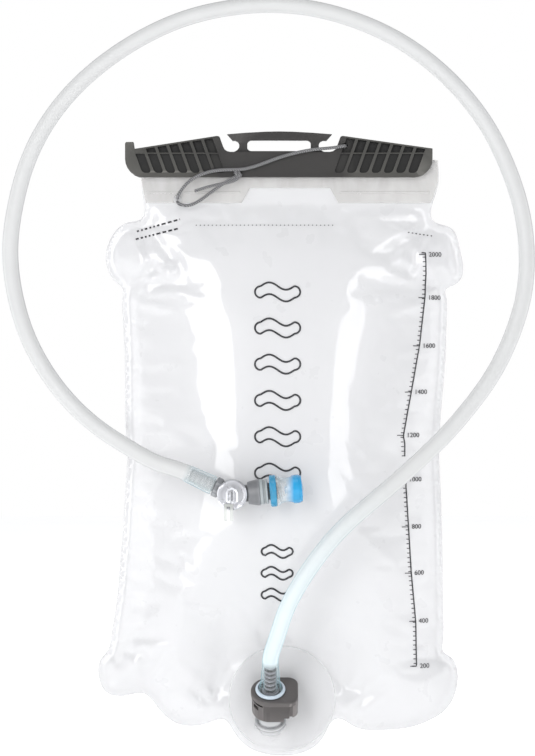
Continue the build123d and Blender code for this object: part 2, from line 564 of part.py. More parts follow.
# (radius, height) profiles
INLET_PROFILE = [(0, 15.9), (5.2, 15.9), (6.0, 16.4), (6.0, 19.2), (5.4, 19.8), (5.4, 27.0),
                 (0, 27.0)]
OUTLET_PROFILE = [(0, 0), (5.0, 0), (5.0, 12.0), (0, 12.0)]
KNOB_PROFILE = [(0, 6.2), (KNOB_R - 0.3, 6.2), (KNOB_R, 6.6), (KNOB_R, 7.9),
                (KNOB_R - 0.9, 8.7), (KNOB_R - 2.6, 8.5), (0, 8.9)]
# local X, Y of the raised arch on the knob's front
KNOB_ARCH = [
    (-3.6, -4.2), (-3.6, 1.0), (-2.6, 3.2), (0, 4.3), (2.6, 3.2), (3.6, 1.0), (3.6, -4.2),
    (2.4, -4.2), (2.4, 0.8), (1.8, 2.2), (0, 3.0), (-1.8, 2.2), (-2.4, 0.8), (-2.4, -4.2),
]


def shutoff_barb():
    profile = [(0, 0), (3.1, 0), (3.5, 0.6)] + barb_teeth(0.6, 13.0, 3.3, 0.5, 3.5)
    profile += [(3.5, 15.9), (3.5, 17.4), (0, 17.4)]
    return turned(profile, HOSE_END) - HOSE_END * Pos(0, 0, 9) * Cylinder(VALVE_BORE_R, 30)


def shutoff_body():
    body = VALVE * Pos(0, 0, -1.0) * Cylinder(VALVE_BODY_R, 11.6)
    body += turned(INLET_PROFILE, HOSE_END)
    body += turned(OUTLET_PROFILE, VALVE_OUT)
    body -= VALVE * Pos(0, 0, 0.4) * Cylinder(SPOOL_R + 0.1, 12.0)
    body -= HOSE_END * Pos(0, 0, 13.7) * Cylinder(3.55, 7.6)       # seat of the barb
    body -= HOSE_END * Pos(0, 0, 20) * Cylinder(VALVE_BORE_R, 14)
    body -= VALVE_OUT * Pos(0, 0, 6) * Cylinder(VALVE_BORE_R, 12)
    return body - VALVE_OUT * Pos(0, 0, 10.6) * Cylinder(3.3, 4.4)


def shutoff_spool():
    spool = VALVE * Pos(0, 0, 0.5) * Cylinder(SPOOL_R, 11.0)
    spool -= FLOW * Cylinder(VALVE_BORE_R, 14)
    for z in SPOOL_RING_Z:
        spool -= VALVE * Pos(0, 0, z) * (Cylinder(SPOOL_R + 1, 1.1) - Cylinder(4.05, 1.2))
    return spool


def knob_tab():
    """Two clear prongs let into the front of the knob and hanging below it."""
    tab = block(-4.6, -3.0, -9.3, -8.0, -15.3, -5.4) + block(-1.1, 0.7, -9.3, -8.0, -15.3, -5.4)
    tab += block(-4.6, 0.7, -9.3, -8.0, -7.0, -5.4)
    return Pos(*VALVE_CENTRE) * tab


def shutoff_knob():
    arch_face = Face(Wire.make_polygon([Vector(x, y, 8.3) for x, y in KNOB_ARCH], close=True))
    knob = turned(KNOB_PROFILE, VALVE) + VALVE * Solid.extrude(arch_face, Vector(0, 0, 1.1))
    knob -= VALVE * Pos(0, -0.8, 8.7) * Box(1.0, 5.4, 1.0)
    # recess for the tab
    return knob - Pos(*VALVE_CENTRE) * block(-4.7, 0.8, -12.0, -7.95, -9.6, -5.3)


save("shutoff_barb", shutoff_barb())
save("shutoff_body", shutoff_body())
save("shutoff_spool", shutoff_spool())
save("spool_orings", *[VALVE * Pos(0, 0, z) * Torus(4.56, 0.49) for z in SPOOL_RING_Z])
save("knob_tab", knob_tab())
save("shutoff_knob", shutoff_knob())

# ------------------------------------------------------- outlet and bite valve
# (radius, height) profiles along the outlet axis
OUTLET_CONE = [(5.1, 9.2), (6.5, 9.2), (7.75, 15.2), (7.9, 15.6), (7.9, 16.3), (3.2, 16.3),
               (3.2, 12.2), (5.1, 12.2)]
OUTLET_RING = [
    (2.4, 8.6), (3.1, 8.6), (3.1, 16.4), (7.5, 16.4), (7.5, 18.2), (6.9, 18.4), (6.9, 19.6),
    (7.4, 19.8), (7.4, 21.0), (5.0, 21.2), (5.0, 26.0), (4.2, 26.0), (4.2, 27.4), (5.0, 27.6),
    (5.0, 29.2), (2.4, 29.2),
]
BITE_RING = [(5.2, 22.2), (8.6, 22.2), (9.4, 22.9), (9.4, 25.6), (8.8, 26.2), (5.25, 26.2)]
BITE_CORE = [(0, 31.0), (2.3, 31.0), (2.5, 35.0), (4.2, 36.2), (5.6, 36.8), (6.0, 38.6),
             (5.2, 40.2), (0, 40.6)]
BITE_SHEATH = [
    (5.3, 26.4), (8.7, 26.4), (8.7, 27.6), (7.6, 28.6), (6.9, 31.5), (7.4, 34.4), (8.4, 36.2),
    (8.5, 39.2), (7.6, 41.2), (0, 42.0), (0, 41.0), (6.9, 40.3), (7.2, 38.8), (7.1, 36.8),
    (6.2, 34.9), (5.7, 31.6), (5.9, 29.6), (5.3, 29.4),
]

save("outlet_cone", turned(OUTLET_CONE, VALVE_OUT))
save("outlet_ring", turned(OUTLET_RING, VALVE_OUT))
save("outlet_oring", VALVE_OUT * Pos(0, 0, 26.7) * Torus(4.7, 0.45))
save("bite_valve_ring", turned(BITE_RING, VALVE_OUT))
# core with a flat slot, sheath with a narrow slit in its tip
save("bite_valve_core", turned(BITE_CORE, VALVE_OUT)
     - VALVE_OUT * Pos(0, 0, 38) * Box(3.4, 9.0, 0.8))
save("bite_valve_sheath", turned(BITE_SHEATH, VALVE_OUT)
     - VALVE_OUT * Pos(0, 0, 41.2) * Box(0.35, 9.0, 6.0))
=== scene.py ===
# A soft drink reservoir: a clear film bag with a slide closure across its mouth and a hose that
# runs from a coupler low on the front, round over the bag, to a shut-off and bite valve.
# The bag stands upright in the XZ plane: +X right, +Z up, the front faces -Y and the camera.
# Its mouth is just below z = 0 and its foot near z = -365 mm. Shapes are measured in
# millimetres and scaled by MM; materials, lights and the camera are in metres.
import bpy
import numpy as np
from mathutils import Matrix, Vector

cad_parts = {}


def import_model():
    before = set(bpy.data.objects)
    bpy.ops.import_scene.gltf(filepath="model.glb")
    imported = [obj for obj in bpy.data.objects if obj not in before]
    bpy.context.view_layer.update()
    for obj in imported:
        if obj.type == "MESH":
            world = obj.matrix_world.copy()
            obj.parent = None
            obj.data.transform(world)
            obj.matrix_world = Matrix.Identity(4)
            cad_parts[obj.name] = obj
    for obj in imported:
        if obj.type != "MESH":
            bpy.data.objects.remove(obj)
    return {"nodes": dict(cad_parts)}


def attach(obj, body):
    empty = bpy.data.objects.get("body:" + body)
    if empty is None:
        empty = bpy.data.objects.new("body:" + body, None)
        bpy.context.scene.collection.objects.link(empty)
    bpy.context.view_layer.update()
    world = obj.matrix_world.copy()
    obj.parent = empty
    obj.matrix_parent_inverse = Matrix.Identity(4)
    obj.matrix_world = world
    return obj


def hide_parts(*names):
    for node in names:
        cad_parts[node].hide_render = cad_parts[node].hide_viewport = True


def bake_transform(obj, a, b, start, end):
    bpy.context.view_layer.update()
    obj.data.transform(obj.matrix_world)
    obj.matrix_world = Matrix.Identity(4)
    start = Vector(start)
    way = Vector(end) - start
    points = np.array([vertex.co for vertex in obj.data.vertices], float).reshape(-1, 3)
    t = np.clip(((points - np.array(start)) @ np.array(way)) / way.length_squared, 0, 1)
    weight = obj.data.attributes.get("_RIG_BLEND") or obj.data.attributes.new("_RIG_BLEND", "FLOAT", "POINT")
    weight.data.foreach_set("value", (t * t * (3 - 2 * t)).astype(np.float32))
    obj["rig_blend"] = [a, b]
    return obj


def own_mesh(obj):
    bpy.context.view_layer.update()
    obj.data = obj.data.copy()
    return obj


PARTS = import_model()["nodes"]

import math
import random
import bpy
import bmesh
import numpy as np
from mathutils import Vector, geometry
from mathutils.bvhtree import BVHTree

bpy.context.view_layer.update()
scene = bpy.context.scene
MM = 0.001

# Axes of the two barbed ends of the hose, in mm
ACROSS = np.array([1.0, 0, 0])
PORT_TILT = math.radians(38.0)
PORT_AXIS = np.array([0, -math.sin(PORT_TILT), math.cos(PORT_TILT)])
PORT_CENTRE = np.array([-5.2, -28.6, -324.0])
VALVE_DIP = math.radians(25.0)
VALVE_AXIS = np.array([math.cos(VALVE_DIP), 0, -math.sin(VALVE_DIP)])
VALVE_CENTRE = np.array([-27.7, -44.0, -207.6])
VALVE_START = VALVE_CENTRE - VALVE_AXIS * 27.5      # where the hose meets the shut-off


# ---------------------------------------------------------------- helpers
def assign(target, **values):
    for key, value in values.items():
        setattr(target, key, value)


def link(ob):
    scene.collection.objects.link(ob)
    return ob


def mesh_object(name, verts, faces, smooth=True):
    mesh = bpy.data.meshes.new(name)
    mesh.from_pydata([tuple(v) for v in verts], [], [tuple(f) for f in faces])
    mesh.update()
    if smooth:
        mesh.polygons.foreach_set("use_smooth", [True] * len(mesh.polygons))
    return link(bpy.data.objects.new(name, mesh))


def add_modifier(ob, name, kind, **settings):
    assign(ob.modifiers.new(name, kind), **settings)


def apply_modifiers(ob):
    depsgraph = bpy.context.evaluated_depsgraph_get()
    mesh = bpy.data.meshes.new_from_object(ob.evaluated_get(depsgraph))
    old = ob.data
    ob.modifiers.clear()
    ob.data = mesh
    bpy.data.meshes.remove(old)


def vertex_places(ob):
    return np.array([v.co for v in ob.data.vertices], float).reshape(-1, 3)


def set_values(attribute, values):
    attribute.data.foreach_set("value", values.astype(np.float32))


def smoothstep(start, end, x):
    t = np.clip((x - start) / (end - start), 0.0, 1.0)
    return t * t * (3 - 2 * t)


def lookup(table, at, column=1):
    """Read a column of a table by its rising first column."""
    rows = np.array(table, float)
    return np.interp(at, rows[:, 0], rows[:, column])


def lengths_along(points):
    return np.concatenate([[0], np.cumsum(np.linalg.norm(np.diff(points, axis=0), axis=1))])


def points_at(points, lengths, stations):
    return np.stack([np.interp(stations, lengths, column) for column in points.T], 1)


def natural_cubic(points, step):
    """Points at equal steps along a smooth curve through the given points, and their lengths."""
    knots = np.array(points, float)
    gaps = np.linalg.norm(np.diff(knots, axis=0), axis=1)
    at = lengths_along(knots)
    count = len(knots)
    matrix = np.zeros((count, count))
    right = np.zeros((count, 3))
    matrix[0, 0] = matrix[-1, -1] = 1
    for i in range(1, count - 1):
        before, after = gaps[i - 1], gaps[i]
        matrix[i, i - 1:i + 2] = before, 2 * (before + after), after
        right[i] = 6 * ((knots[i + 1] - knots[i]) / after - (knots[i] - knots[i - 1]) / before)
    bend = np.linalg.solve(matrix, right)
    fine = np.linspace(0, at[-1], max(int(at[-1] / step * 4), 40))
    k = np.clip(np.searchsorted(at, fine, "right") - 1, 0, count - 2)
    gap = gaps[k][:, None]
    ahead = (at[k + 1] - fine)[:, None]
    behind = (fine - at[k])[:, None]
    curve = ((bend[k] * ahead ** 3 + bend[k + 1] * behind ** 3) / (6 * gap)
             + (knots[k] / gap - bend[k] * gap / 6) * ahead
             + (knots[k + 1] / gap - bend[k + 1] * gap / 6) * behind)
    lengths = lengths_along(curve)
    stations = np.linspace(0, lengths[-1], max(int(round(lengths[-1] / step)), 2) + 1)
    return points_at(curve, lengths, stations), stations


def frames_along(centre):
    """Two directions square to the curve at each point, without twist."""
    tangents = np.gradient(centre, axis=0)
    tangents /= np.linalg.norm(tangents, axis=1)[:, None]
    normal = np.array((0, -1, 0), float)
    frames = []
    for tangent in tangents:
        normal = normal - tangent * (normal @ tangent)
        normal /= np.linalg.norm(normal)
        frames.append((normal.copy(), np.cross(tangent, normal)))
    return frames


def tube_mesh(name, centre, outer, inner=None, *, seg, relief=None):
    """A round tube with its own wall, or without an inner radius a rod with closed ends."""
    frames = frames_along(centre)
    count = len(centre)
    verts, faces = [], []

    def skin(radii, flip, relief=None):
        base = len(verts)
        for i, (normal, cross) in enumerate(frames):
            for k in range(seg):
                angle = 2 * math.pi * k / seg
                radius = radii[i] + (relief(i, angle) if relief else 0.0)
                verts.append(
                    centre[i] + (normal * math.cos(angle) + cross * math.sin(angle)) * radius)
        for i in range(count - 1):
            here, there = base + i * seg, base + (i + 1) * seg
            for k in range(seg):
                k2 = (k + 1) % seg
                quad = [here + k, here + k2, there + k2, there + k]
                faces.append(quad[::-1] if flip else quad)
        return base

    skin(np.broadcast_to(np.array(outer, float), (count,)), False, relief)
    end = (count - 1) * seg
    if inner is not None:
        bore = skin(inner, True)
        for k in range(seg):
            k2 = (k + 1) % seg
            faces.append([k2, k, bore + k, bore + k2])
            faces.append([end + k, end + k2, bore + end + k2, bore + end + k])
    else:
        for ring, point, flip in ((0, centre[0], True), (end, centre[-1], False)):
            hub = len(verts)
            verts.append(point)
            for k in range(seg):
                tri = [ring + k, ring + (k + 1) % seg, hub]
                faces.append(tri[::-1] if flip else tri)
    return mesh_object(name, verts, faces)


# ---------------------------------------------------------------- material tools
def rgba(shade):
    """Opaque colour from a grey level or an RGB triple."""
    return (*shade, 1) if isinstance(shade, tuple) else (shade, shade, shade, 1)


def scaled(color, factor, lift=0.0):
    return tuple(min(1, c * factor + lift) for c in color)


class Material:
    """A Principled material with node helpers. Extra arguments name inputs of the shader."""

    def __init__(self, name, color, rough, **inputs):
        self.data = bpy.data.materials.new(name)
        self.data.use_nodes = True
        self.tree = self.data.node_tree
        self.shader = self.tree.nodes["Principled BSDF"]
        self.shader.inputs["Base Color"].default_value = rgba(color)
        self.shader.inputs["Roughness"].default_value = rough
        for key, value in inputs.items():
            self.shader.inputs[key.replace("_", " ")].default_value = value
        self.coord = self.node("ShaderNodeTexCoord")

    def node(self, kind, **settings):
        """Settings go to the node's own property of that name, else to its input."""
        node = self.tree.nodes.new(kind)
        for key, value in settings.items():
            if hasattr(node, key):
                setattr(node, key, value)
            else:
                node.inputs[key.replace("_", " ")].default_value = value
        return node

    def wire(self, output, socket):
        self.tree.links.new(output, socket)

    def feed(self, socket, value):
        """Link an output to the socket, or set it to a plain value."""
        if isinstance(value, bpy.types.NodeSocket):
            self.wire(value, socket)
        else:
            socket.default_value = value

    def calc(self, operation, *values):
        node = self.node("ShaderNodeMath", operation=operation)
        for socket, value in zip(node.inputs, values):
            self.feed(socket, value)
        return node.outputs[0]

    def vector(self, operation, *values, scale=None):
        node = self.node("ShaderNodeVectorMath", operation=operation)
        for socket, value in zip(node.inputs, values):
            self.feed(socket, value)
        if scale is not None:
            self.feed(node.inputs["Scale"], scale)
        return node.outputs["Value" if operation in ("DOT_PRODUCT", "LENGTH") else "Vector"]

    def mix(self, factor, first, second, blend="MIX"):
        node = self.node("ShaderNodeMix", data_type="RGBA", blend_type=blend)
        self.feed(node.inputs[0], factor)
        self.feed(node.inputs[6], first)
        self.feed(node.inputs[7], second)
        return node.outputs[2]

    def noise(self, scale, detail=3.0, roughness=0.5, distortion=0.0, stretch=None):
        node = self.node("ShaderNodeTexNoise", Scale=scale, Detail=detail,
                         Roughness=roughness, Distortion=distortion)
        place = self.coord.outputs["Object"]
        if stretch:
            mapping = self.node("ShaderNodeMapping", Scale=stretch)
            self.wire(place, mapping.inputs["Vector"])
            place = mapping.outputs["Vector"]
        self.wire(place, node.inputs["Vector"])
        return node.outputs["Fac"]

    def ramp(self, factor, stops):
        """stops: (position, grey level or RGB triple)"""
        node = self.node("ShaderNodeValToRGB")
        elements = node.color_ramp.elements
        while len(elements) < len(stops):
            elements.new(0.5)
        for element, (position, shade) in zip(elements, stops):
            element.position = position
            element.color = rgba(shade)
        self.wire(factor, node.inputs["Fac"])
        return node.outputs["Color"]

    def remap(self, value, over, to=(0.0, 1.0)):
        node = self.node("ShaderNodeMapRange", From_Min=over[0], From_Max=over[1],
                         To_Min=to[0], To_Max=to[1])
        self.wire(value, node.inputs["Value"])
        return node.outputs["Result"]

    def uneven(self, scale, low, high, detail=3):
        """A value that wanders between low and high."""
        return self.remap(self.noise(scale, detail), over=(0.3, 0.7), to=(low, high))

    def facing(self):
        """0 face on, 1 at a grazing angle."""
        return self.node("ShaderNodeLayerWeight", Blend=0.5).outputs["Facing"]

    def place_xyz(self):
        node = self.node("ShaderNodeSeparateXYZ")
        self.wire(self.coord.outputs["Object"], node.inputs[0])
        return node.outputs

    def shadow_alpha(self, alpha, keep):
        """Lets part of the light through where the piece would cast a shadow."""
        shadow = self.node("ShaderNodeLightPath").outputs["Is Shadow Ray"]
        return self.calc("MULTIPLY", alpha, self.remap(shadow, over=(0.0, 1.0), to=(1.0, keep)))

    def height_along(self, origin, axis):
        """Offset from a point given in mm, and its part along the axis, both in metres."""
        offset = self.vector("SUBTRACT", self.coord.outputs["Object"], tuple(origin * MM))
        return offset, self.vector("DOT_PRODUCT", offset, tuple(axis))

    def color(self, output):
        self.wire(output, self.shader.inputs["Base Color"])

    def mottle(self, scale, dark, light, detail=3, top=0.7):
        """Base colour that drifts between two shades."""
        self.color(self.ramp(self.noise(scale, detail), [(0.3, dark), (top, light)]))

    def multiply_color(self, output):
        present = self.shader.inputs["Base Color"].links[0].from_socket
        self.color(self.mix(1.0, present, output, "MULTIPLY"))

    def rough(self, output):
        self.wire(output, self.shader.inputs["Roughness"])

    def alpha(self, output):
        self.wire(output, self.shader.inputs["Alpha"])

    def bump(self, height, strength, distance):
        """Adds a layer of relief over those already there."""
        node = self.node("ShaderNodeBump", Strength=strength, Distance=distance)
        self.wire(height, node.inputs["Height"])
        normal = self.shader.inputs["Normal"]
        if normal.is_linked:
            self.wire(normal.links[0].from_socket, node.inputs["Normal"])
        self.wire(node.outputs["Normal"], normal)


def paint(ob, mat):
    ob.data.materials.clear()
    ob.data.materials.append(mat.data)


# ---------------------------------------------------------------- moulded plastics
def moulded(name, base, rough, *, vary=0.12, coat=0.0, metallic=0.0, recess=0.0025, deep=0.35,
            worn=1.5, gloss=0.5):
    """Moulded plastic with fine grain and flow marks, painted shade in its recesses and a painted highlight
    on its edges.

    vary: drift of the base colour; recess, deep: reach and depth of the painted shade in recesses;
    worn: how much lighter the edges are painted as a highlight; gloss: specular level."""
    mat = Material(name, base, rough, Metallic=metallic, Coat_Weight=coat,
                   Specular_IOR_Level=gloss)
    cloud = mat.noise(scale=38, detail=4, roughness=0.55)
    pointiness = mat.node("ShaderNodeNewGeometry").outputs["Pointiness"]
    # painted highlight: sharp edges, found by pointiness, are painted lighter
    edge = mat.ramp(pointiness, [(0.50, 0.0), (0.58, 1.0)])
    body = mat.ramp(cloud, [(0.35, scaled(base, 1 - vary)), (0.65, scaled(base, 1 + vary))])
    surface = mat.mix(edge, body, rgba(scaled(base, worn, lift=0.012)))
    # painted shade: the colour is darkened where ambient occlusion finds a recess
    occlusion = mat.node("ShaderNodeAmbientOcclusion", Distance=recess, samples=6)
    shade = mat.ramp(occlusion.outputs["AO"], [(0.30, deep), (0.85, 1.0)])
    mat.color(mat.mix(1.0, surface, shade, "MULTIPLY"))
    mat.rough(mat.uneven(scale=120, low=rough - 0.07, high=rough + 0.08))
    grain = mat.noise(scale=2700, detail=2, roughness=0.6)
    flow = mat.noise(scale=60, detail=2, roughness=0.4, stretch=(1, 1, 4))
    mat.bump(flow, strength=0.08, distance=0.0006)
    mat.bump(grain, strength=0.22, distance=0.00016)
    return mat


def ribbed(name, base, rough, *, origin, axis, start, pitch, hollow_shade, crest_highlight, **extra):
    """Barbed spigot: bands of painted shade in the hollows and a painted highlight on the crests repeat
    along its axis.
    """
    mat = moulded(name, base, rough, **extra)
    mat.coord = mat.node("ShaderNodeTexCoord")
    height = mat.height_along(origin, axis)[1]
    barbs = mat.calc("DIVIDE", mat.calc("SUBTRACT", height, start), pitch)
    # painted shade in each hollow between barbs and a painted highlight on each crest, in bands along the
    # axis
    mat.multiply_color(mat.ramp(mat.calc("FRACT", barbs), [
        (0.0, hollow_shade), (0.26, hollow_shade), (0.40, crest_highlight), (0.62, crest_highlight * 0.85), (0.80, 0.9),
        (0.92, hollow_shade)]))
    return mat


def mat_closure():
    """Dark moulding with painted shade in the pockets of the wings, and a middle darkened as a painted dark
    reflection band.
    """
    mat = moulded("closure_plastic", (0.046, 0.0445, 0.042), 0.42, deep=0.16, recess=0.003,
                  worn=2.4, gloss=0.28)
    mat.coord = mat.node("ShaderNodeTexCoord")
    place = mat.place_xyz()
    # painted shade: surfaces set back behind the front face in the wings, the pocket floors and walls, are
    # darkened
    depth = mat.calc("ABSOLUTE", place["Y"])
    inside_walls = mat.remap(depth, over=(0.0049, 0.0053), to=(1.0, 0.0))
    below_top = mat.remap(place["Z"], over=(0.0052, 0.0060), to=(1.0, 0.0))
    wing = mat.ramp(mat.remap(place["X"], over=(-0.090, 0.098)),
                    [(0.24, 1.0), (0.29, 0.0), (0.68, 0.0), (0.72, 1.0)])
    pocket_shade = mat.calc("MULTIPLY", mat.calc("MULTIPLY", inside_walls, below_top), wing)
    mat.multiply_color(mat.ramp(pocket_shade, [(0.0, 1.0), (1.0, (0.20, 0.20, 0.21))]))
    # painted reflection: the middle is darkened as a dark glossy band, the wings kept lighter
    mat.multiply_color(mat.ramp(wing, [(0.0, (0.48, 0.47, 0.48)), (1.0, (0.98, 0.99, 0.96))]))
    return mat


# ---------------------------------------------------------------- clear and soft materials
def mat_film():
    """Glossy, faintly frosted TPU: cloudy white with a cool cast and soft orange peel."""
    mat = Material("film_tpu", (0.66, 0.665, 0.69), 0.30, Coat_Weight=1.0,
                   Coat_Roughness=0.045, Specular_IOR_Level=0.45)
    mat.color(mat.ramp(mat.noise(scale=14, detail=4, roughness=0.55), [
        (0.3, (0.732, 0.733, 0.747)), (0.55, (0.738, 0.739, 0.752)),
        (0.75, (0.744, 0.745, 0.757))]))
    mat.rough(mat.uneven(scale=70, low=0.26, high=0.36))
    mat.alpha(mat.uneven(scale=9, detail=2, low=0.86, high=0.88))
    peel = mat.noise(scale=26, detail=2, roughness=0.4, distortion=0.2, stretch=(1, 1, 0.3))
    mat.bump(peel, strength=0.04, distance=0.0012)
    mat.bump(mat.noise(scale=500, detail=2), strength=0.02, distance=0.0001)
    return mat


def clear_relief(mat, strength, grain):
    """Shallow upright waves with a fine grain over them."""
    mat.bump(mat.noise(scale=120, detail=2, stretch=(1, 1, 0.3)), strength, distance=0.0005)
    mat.bump(mat.noise(scale=1500, detail=2), strength=grain, distance=0.0001)


def mat_port():
    """Clear moulding, almost invisible face on, with painted dark rings on its stepped neck for the dark
    contours that refraction draws, and edges painted darker at grazing angles.
    """
    mat = Material("port_clear", (0.75, 0.76, 0.77), 0.08, Coat_Weight=0.7,
                   Coat_Roughness=0.03)
    facing = mat.facing()
    offset, height = mat.height_along(PORT_CENTRE, PORT_AXIS)
    on_axis = mat.vector("SCALE", tuple(PORT_AXIS), scale=height)
    radius = mat.vector("LENGTH", mat.vector("SUBTRACT", offset, on_axis))
    # painted shade: dark contour rings at the steps of the neck, where refraction darkens clear plastic
    dark = (0.22, 0.23, 0.24)
    rings = mat.ramp(mat.remap(height, over=(-0.036, -0.016)), [
        (0.10, 1.0), (0.15, dark), (0.20, 1.0), (0.27, 0.45), (0.33, 1.0), (0.39, dark),
        (0.46, 1.0), (0.52, 0.4), (0.57, 1.0), (0.60, dark), (0.68, 1.0), (1.0, 0.8)])
    near = mat.remap(radius, over=(0.0096, 0.0102), to=(1.0, 0.0))
    neck = mat.calc("MULTIPLY", near, mat.remap(height, over=(-0.0345, -0.0335)))
    # painted shade: the clear body is painted darker towards grazing angles, as refraction darkens its edges
    body = mat.ramp(facing, [
        (0.0, (0.86, 0.865, 0.87)), (0.5, (0.78, 0.79, 0.80)), (0.72, (0.60, 0.61, 0.62)),
        (0.86, (0.24, 0.25, 0.26)), (1.0, (0.10, 0.11, 0.12))])
    ringed = mat.mix(neck, body, rings, "MULTIPLY")
    mat.color(mat.mix(neck, ringed, (0.80, 0.805, 0.815, 1), "MULTIPLY"))
    # opacity: by angle on the body, even on the neck, almost none at the foot of the neck
    by_angle = mat.ramp(facing, [(0.0, 0.07), (0.15, 0.12), (0.5, 0.35), (1.0, 0.90)])
    with_neck = mat.mix(neck, by_angle, rgba(0.62))
    foot = mat.calc("MULTIPLY", near, mat.remap(height, over=(-0.0325, -0.0305), to=(1.0, 0.0)))
    mat.alpha(mat.shadow_alpha(mat.mix(foot, with_neck, rgba(0.05)), keep=0.25))
    mat.rough(mat.uneven(scale=90, low=0.05, high=0.14))
    clear_relief(mat, strength=0.08, grain=0.04)
    return mat


def mat_tab():
    color = (0.72, 0.74, 0.72)
    mat = Material("tab_clear", color, 0.12, Coat_Weight=0.6, Coat_Roughness=0.04, Alpha=0.50)
    mat.mottle(scale=30, dark=scaled(color, 0.93), light=color)
    mat.rough(mat.uneven(scale=90, low=0.07, high=0.19))
    mat.alpha(mat.uneven(scale=24, detail=2, low=0.45, high=0.55))
    clear_relief(mat, strength=0.10, grain=0.04)
    return mat


def mat_rail():
    """Thin clear strip over film: warm white with soft upright streaks."""
    mat = Material("rail_clear", (0.72, 0.71, 0.69), 0.2, Coat_Weight=0.6, Coat_Roughness=0.05)
    streak = mat.noise(scale=34, detail=4, roughness=0.55, distortion=0.3,
                       stretch=(1.0, 1.0, 0.35))
    mat.color(mat.ramp(streak, [
        (0.32, (0.66, 0.65, 0.635)), (0.46, (0.80, 0.79, 0.775)),
        (0.56, (0.72, 0.71, 0.695)), (0.70, (0.90, 0.895, 0.89))]))
    mat.rough(mat.uneven(scale=90, low=0.15, high=0.27))
    mat.alpha(mat.uneven(scale=24, detail=2, low=0.34, high=0.44))
    waves = mat.noise(scale=60, detail=2, distortion=0.2, stretch=(1, 1, 0.4))
    mat.bump(waves, strength=0.14, distance=0.0008)
    mat.bump(mat.noise(scale=1500, detail=2), strength=0.04, distance=0.0001)
    return mat


def mat_hose():
    """Milky tube, clearer where it is stretched over a barb and blue-green near the port.

    The faint emission stands for light that has travelled along inside the wall."""
    mat = Material("hose_milky", (0.72, 0.73, 0.73), 0.3, Coat_Weight=0.0,
                   Emission_Color=(0.97, 0.99, 1.0, 1), Emission_Strength=0.13)
    facing = mat.facing()
    clear = mat.node("ShaderNodeAttribute", attribute_name="clear").outputs["Fac"]
    teal = mat.node("ShaderNodeAttribute", attribute_name="teal").outputs["Fac"]
    # painted light and shade by viewing angle: each tint darkens towards the tube's edges, with a lighter
    # band part way out as a painted highlight
    milky = mat.ramp(facing, [
        (0.0, (0.50, 0.503, 0.503)), (0.25, (0.475, 0.478, 0.478)),
        (0.45, (0.53, 0.533, 0.533)), (0.75, (0.42, 0.425, 0.43)), (1.0, (0.27, 0.28, 0.29))])
    blue = mat.ramp(facing, [
        (0.0, (0.60, 0.67, 0.69)), (0.30, (0.50, 0.59, 0.62)), (0.5, (0.60, 0.68, 0.70)),
        (0.8, (0.30, 0.48, 0.54)), (1.0, (0.17, 0.36, 0.42))])
    glass = mat.ramp(facing, [
        (0.0, (0.72, 0.77, 0.79)), (0.5, (0.52, 0.66, 0.70)), (0.8, (0.16, 0.40, 0.47)),
        (1.0, (0.05, 0.22, 0.28))])
    mat.color(mat.mix(clear, mat.mix(teal, milky, blue), glass))
    milky_alpha = mat.ramp(facing, [(0.0, 0.97), (1.0, 1.0)])
    clear_alpha = mat.ramp(facing, [(0.0, 0.02), (0.45, 0.06), (0.8, 0.45), (1.0, 0.85)])
    mat.alpha(mat.shadow_alpha(mat.mix(clear, milky_alpha, clear_alpha), keep=0.9))
    mat.multiply_color(mat.ramp(mat.noise(scale=55), [(0.3, 0.97), (0.7, 1.0)]))
    mat.rough(mat.uneven(scale=60, low=0.38, high=0.50))
    return mat


def silicone_relief(mat):
    mat.bump(mat.noise(scale=1800, detail=2), strength=0.08, distance=0.0001)
    mat.bump(mat.noise(scale=160, detail=2), strength=0.06, distance=0.0004)


def mat_sheath():
    """Clear silicone bite piece whose lip turns blue at its +X end."""
    mat = Material("silicone_clear", (0.8, 0.9, 0.95), 0.16, Coat_Weight=0.5,
                   Coat_Roughness=0.06)
    lip = mat.remap(mat.place_xyz()["X"], over=(0.0035, 0.0085))
    facing = mat.facing()
    clear = mat.ramp(facing, [
        (0.0, (0.90, 0.93, 0.94)), (0.6, (0.80, 0.88, 0.91)), (1.0, (0.30, 0.58, 0.74))])
    mat.color(mat.mix(lip, clear, (0.02, 0.38, 0.72, 1)))
    clear_alpha = mat.ramp(facing, [(0.0, 0.22), (0.6, 0.4), (1.0, 0.85)])
    mat.alpha(mat.shadow_alpha(mat.mix(lip, clear_alpha, rgba(0.72)), keep=0.5))
    mat.rough(mat.uneven(scale=220, detail=2, low=0.10, high=0.24))
    silicone_relief(mat)
    return mat


def mat_silicone():
    color = (0.02, 0.25, 0.44)
    mat = Material("silicone_blue", color, 0.25, Coat_Weight=0.25, Coat_Roughness=0.2,
                   Subsurface_Weight=0.15, Subsurface_Scale=0.002)
    mat.mottle(scale=140, dark=scaled(color, 0.85), light=scaled(color, 1.12, lift=0.02))
    mat.rough(mat.uneven(scale=220, detail=2, low=0.19, high=0.33))
    silicone_relief(mat)
    return mat


def mat_cord():
    mat = Material("cord_braid", (0.16, 0.16, 0.165), 0.75, Sheen_Weight=0.2)
    wave = mat.node("ShaderNodeTexWave", Scale=420.0, Distortion=1.5, Detail=2.0,
                    wave_type="BANDS", bands_direction="DIAGONAL")
    mat.wire(mat.coord.outputs["Object"], wave.inputs["Vector"])
    strands = wave.outputs["Fac"]
    mat.color(mat.ramp(strands, [(0.2, (0.07, 0.07, 0.075)), (0.75, (0.24, 0.24, 0.245))]))
    mat.bump(strands, strength=0.5, distance=0.0003)
    mat.bump(mat.noise(scale=3000, detail=2), strength=0.3, distance=0.0001)
    return mat


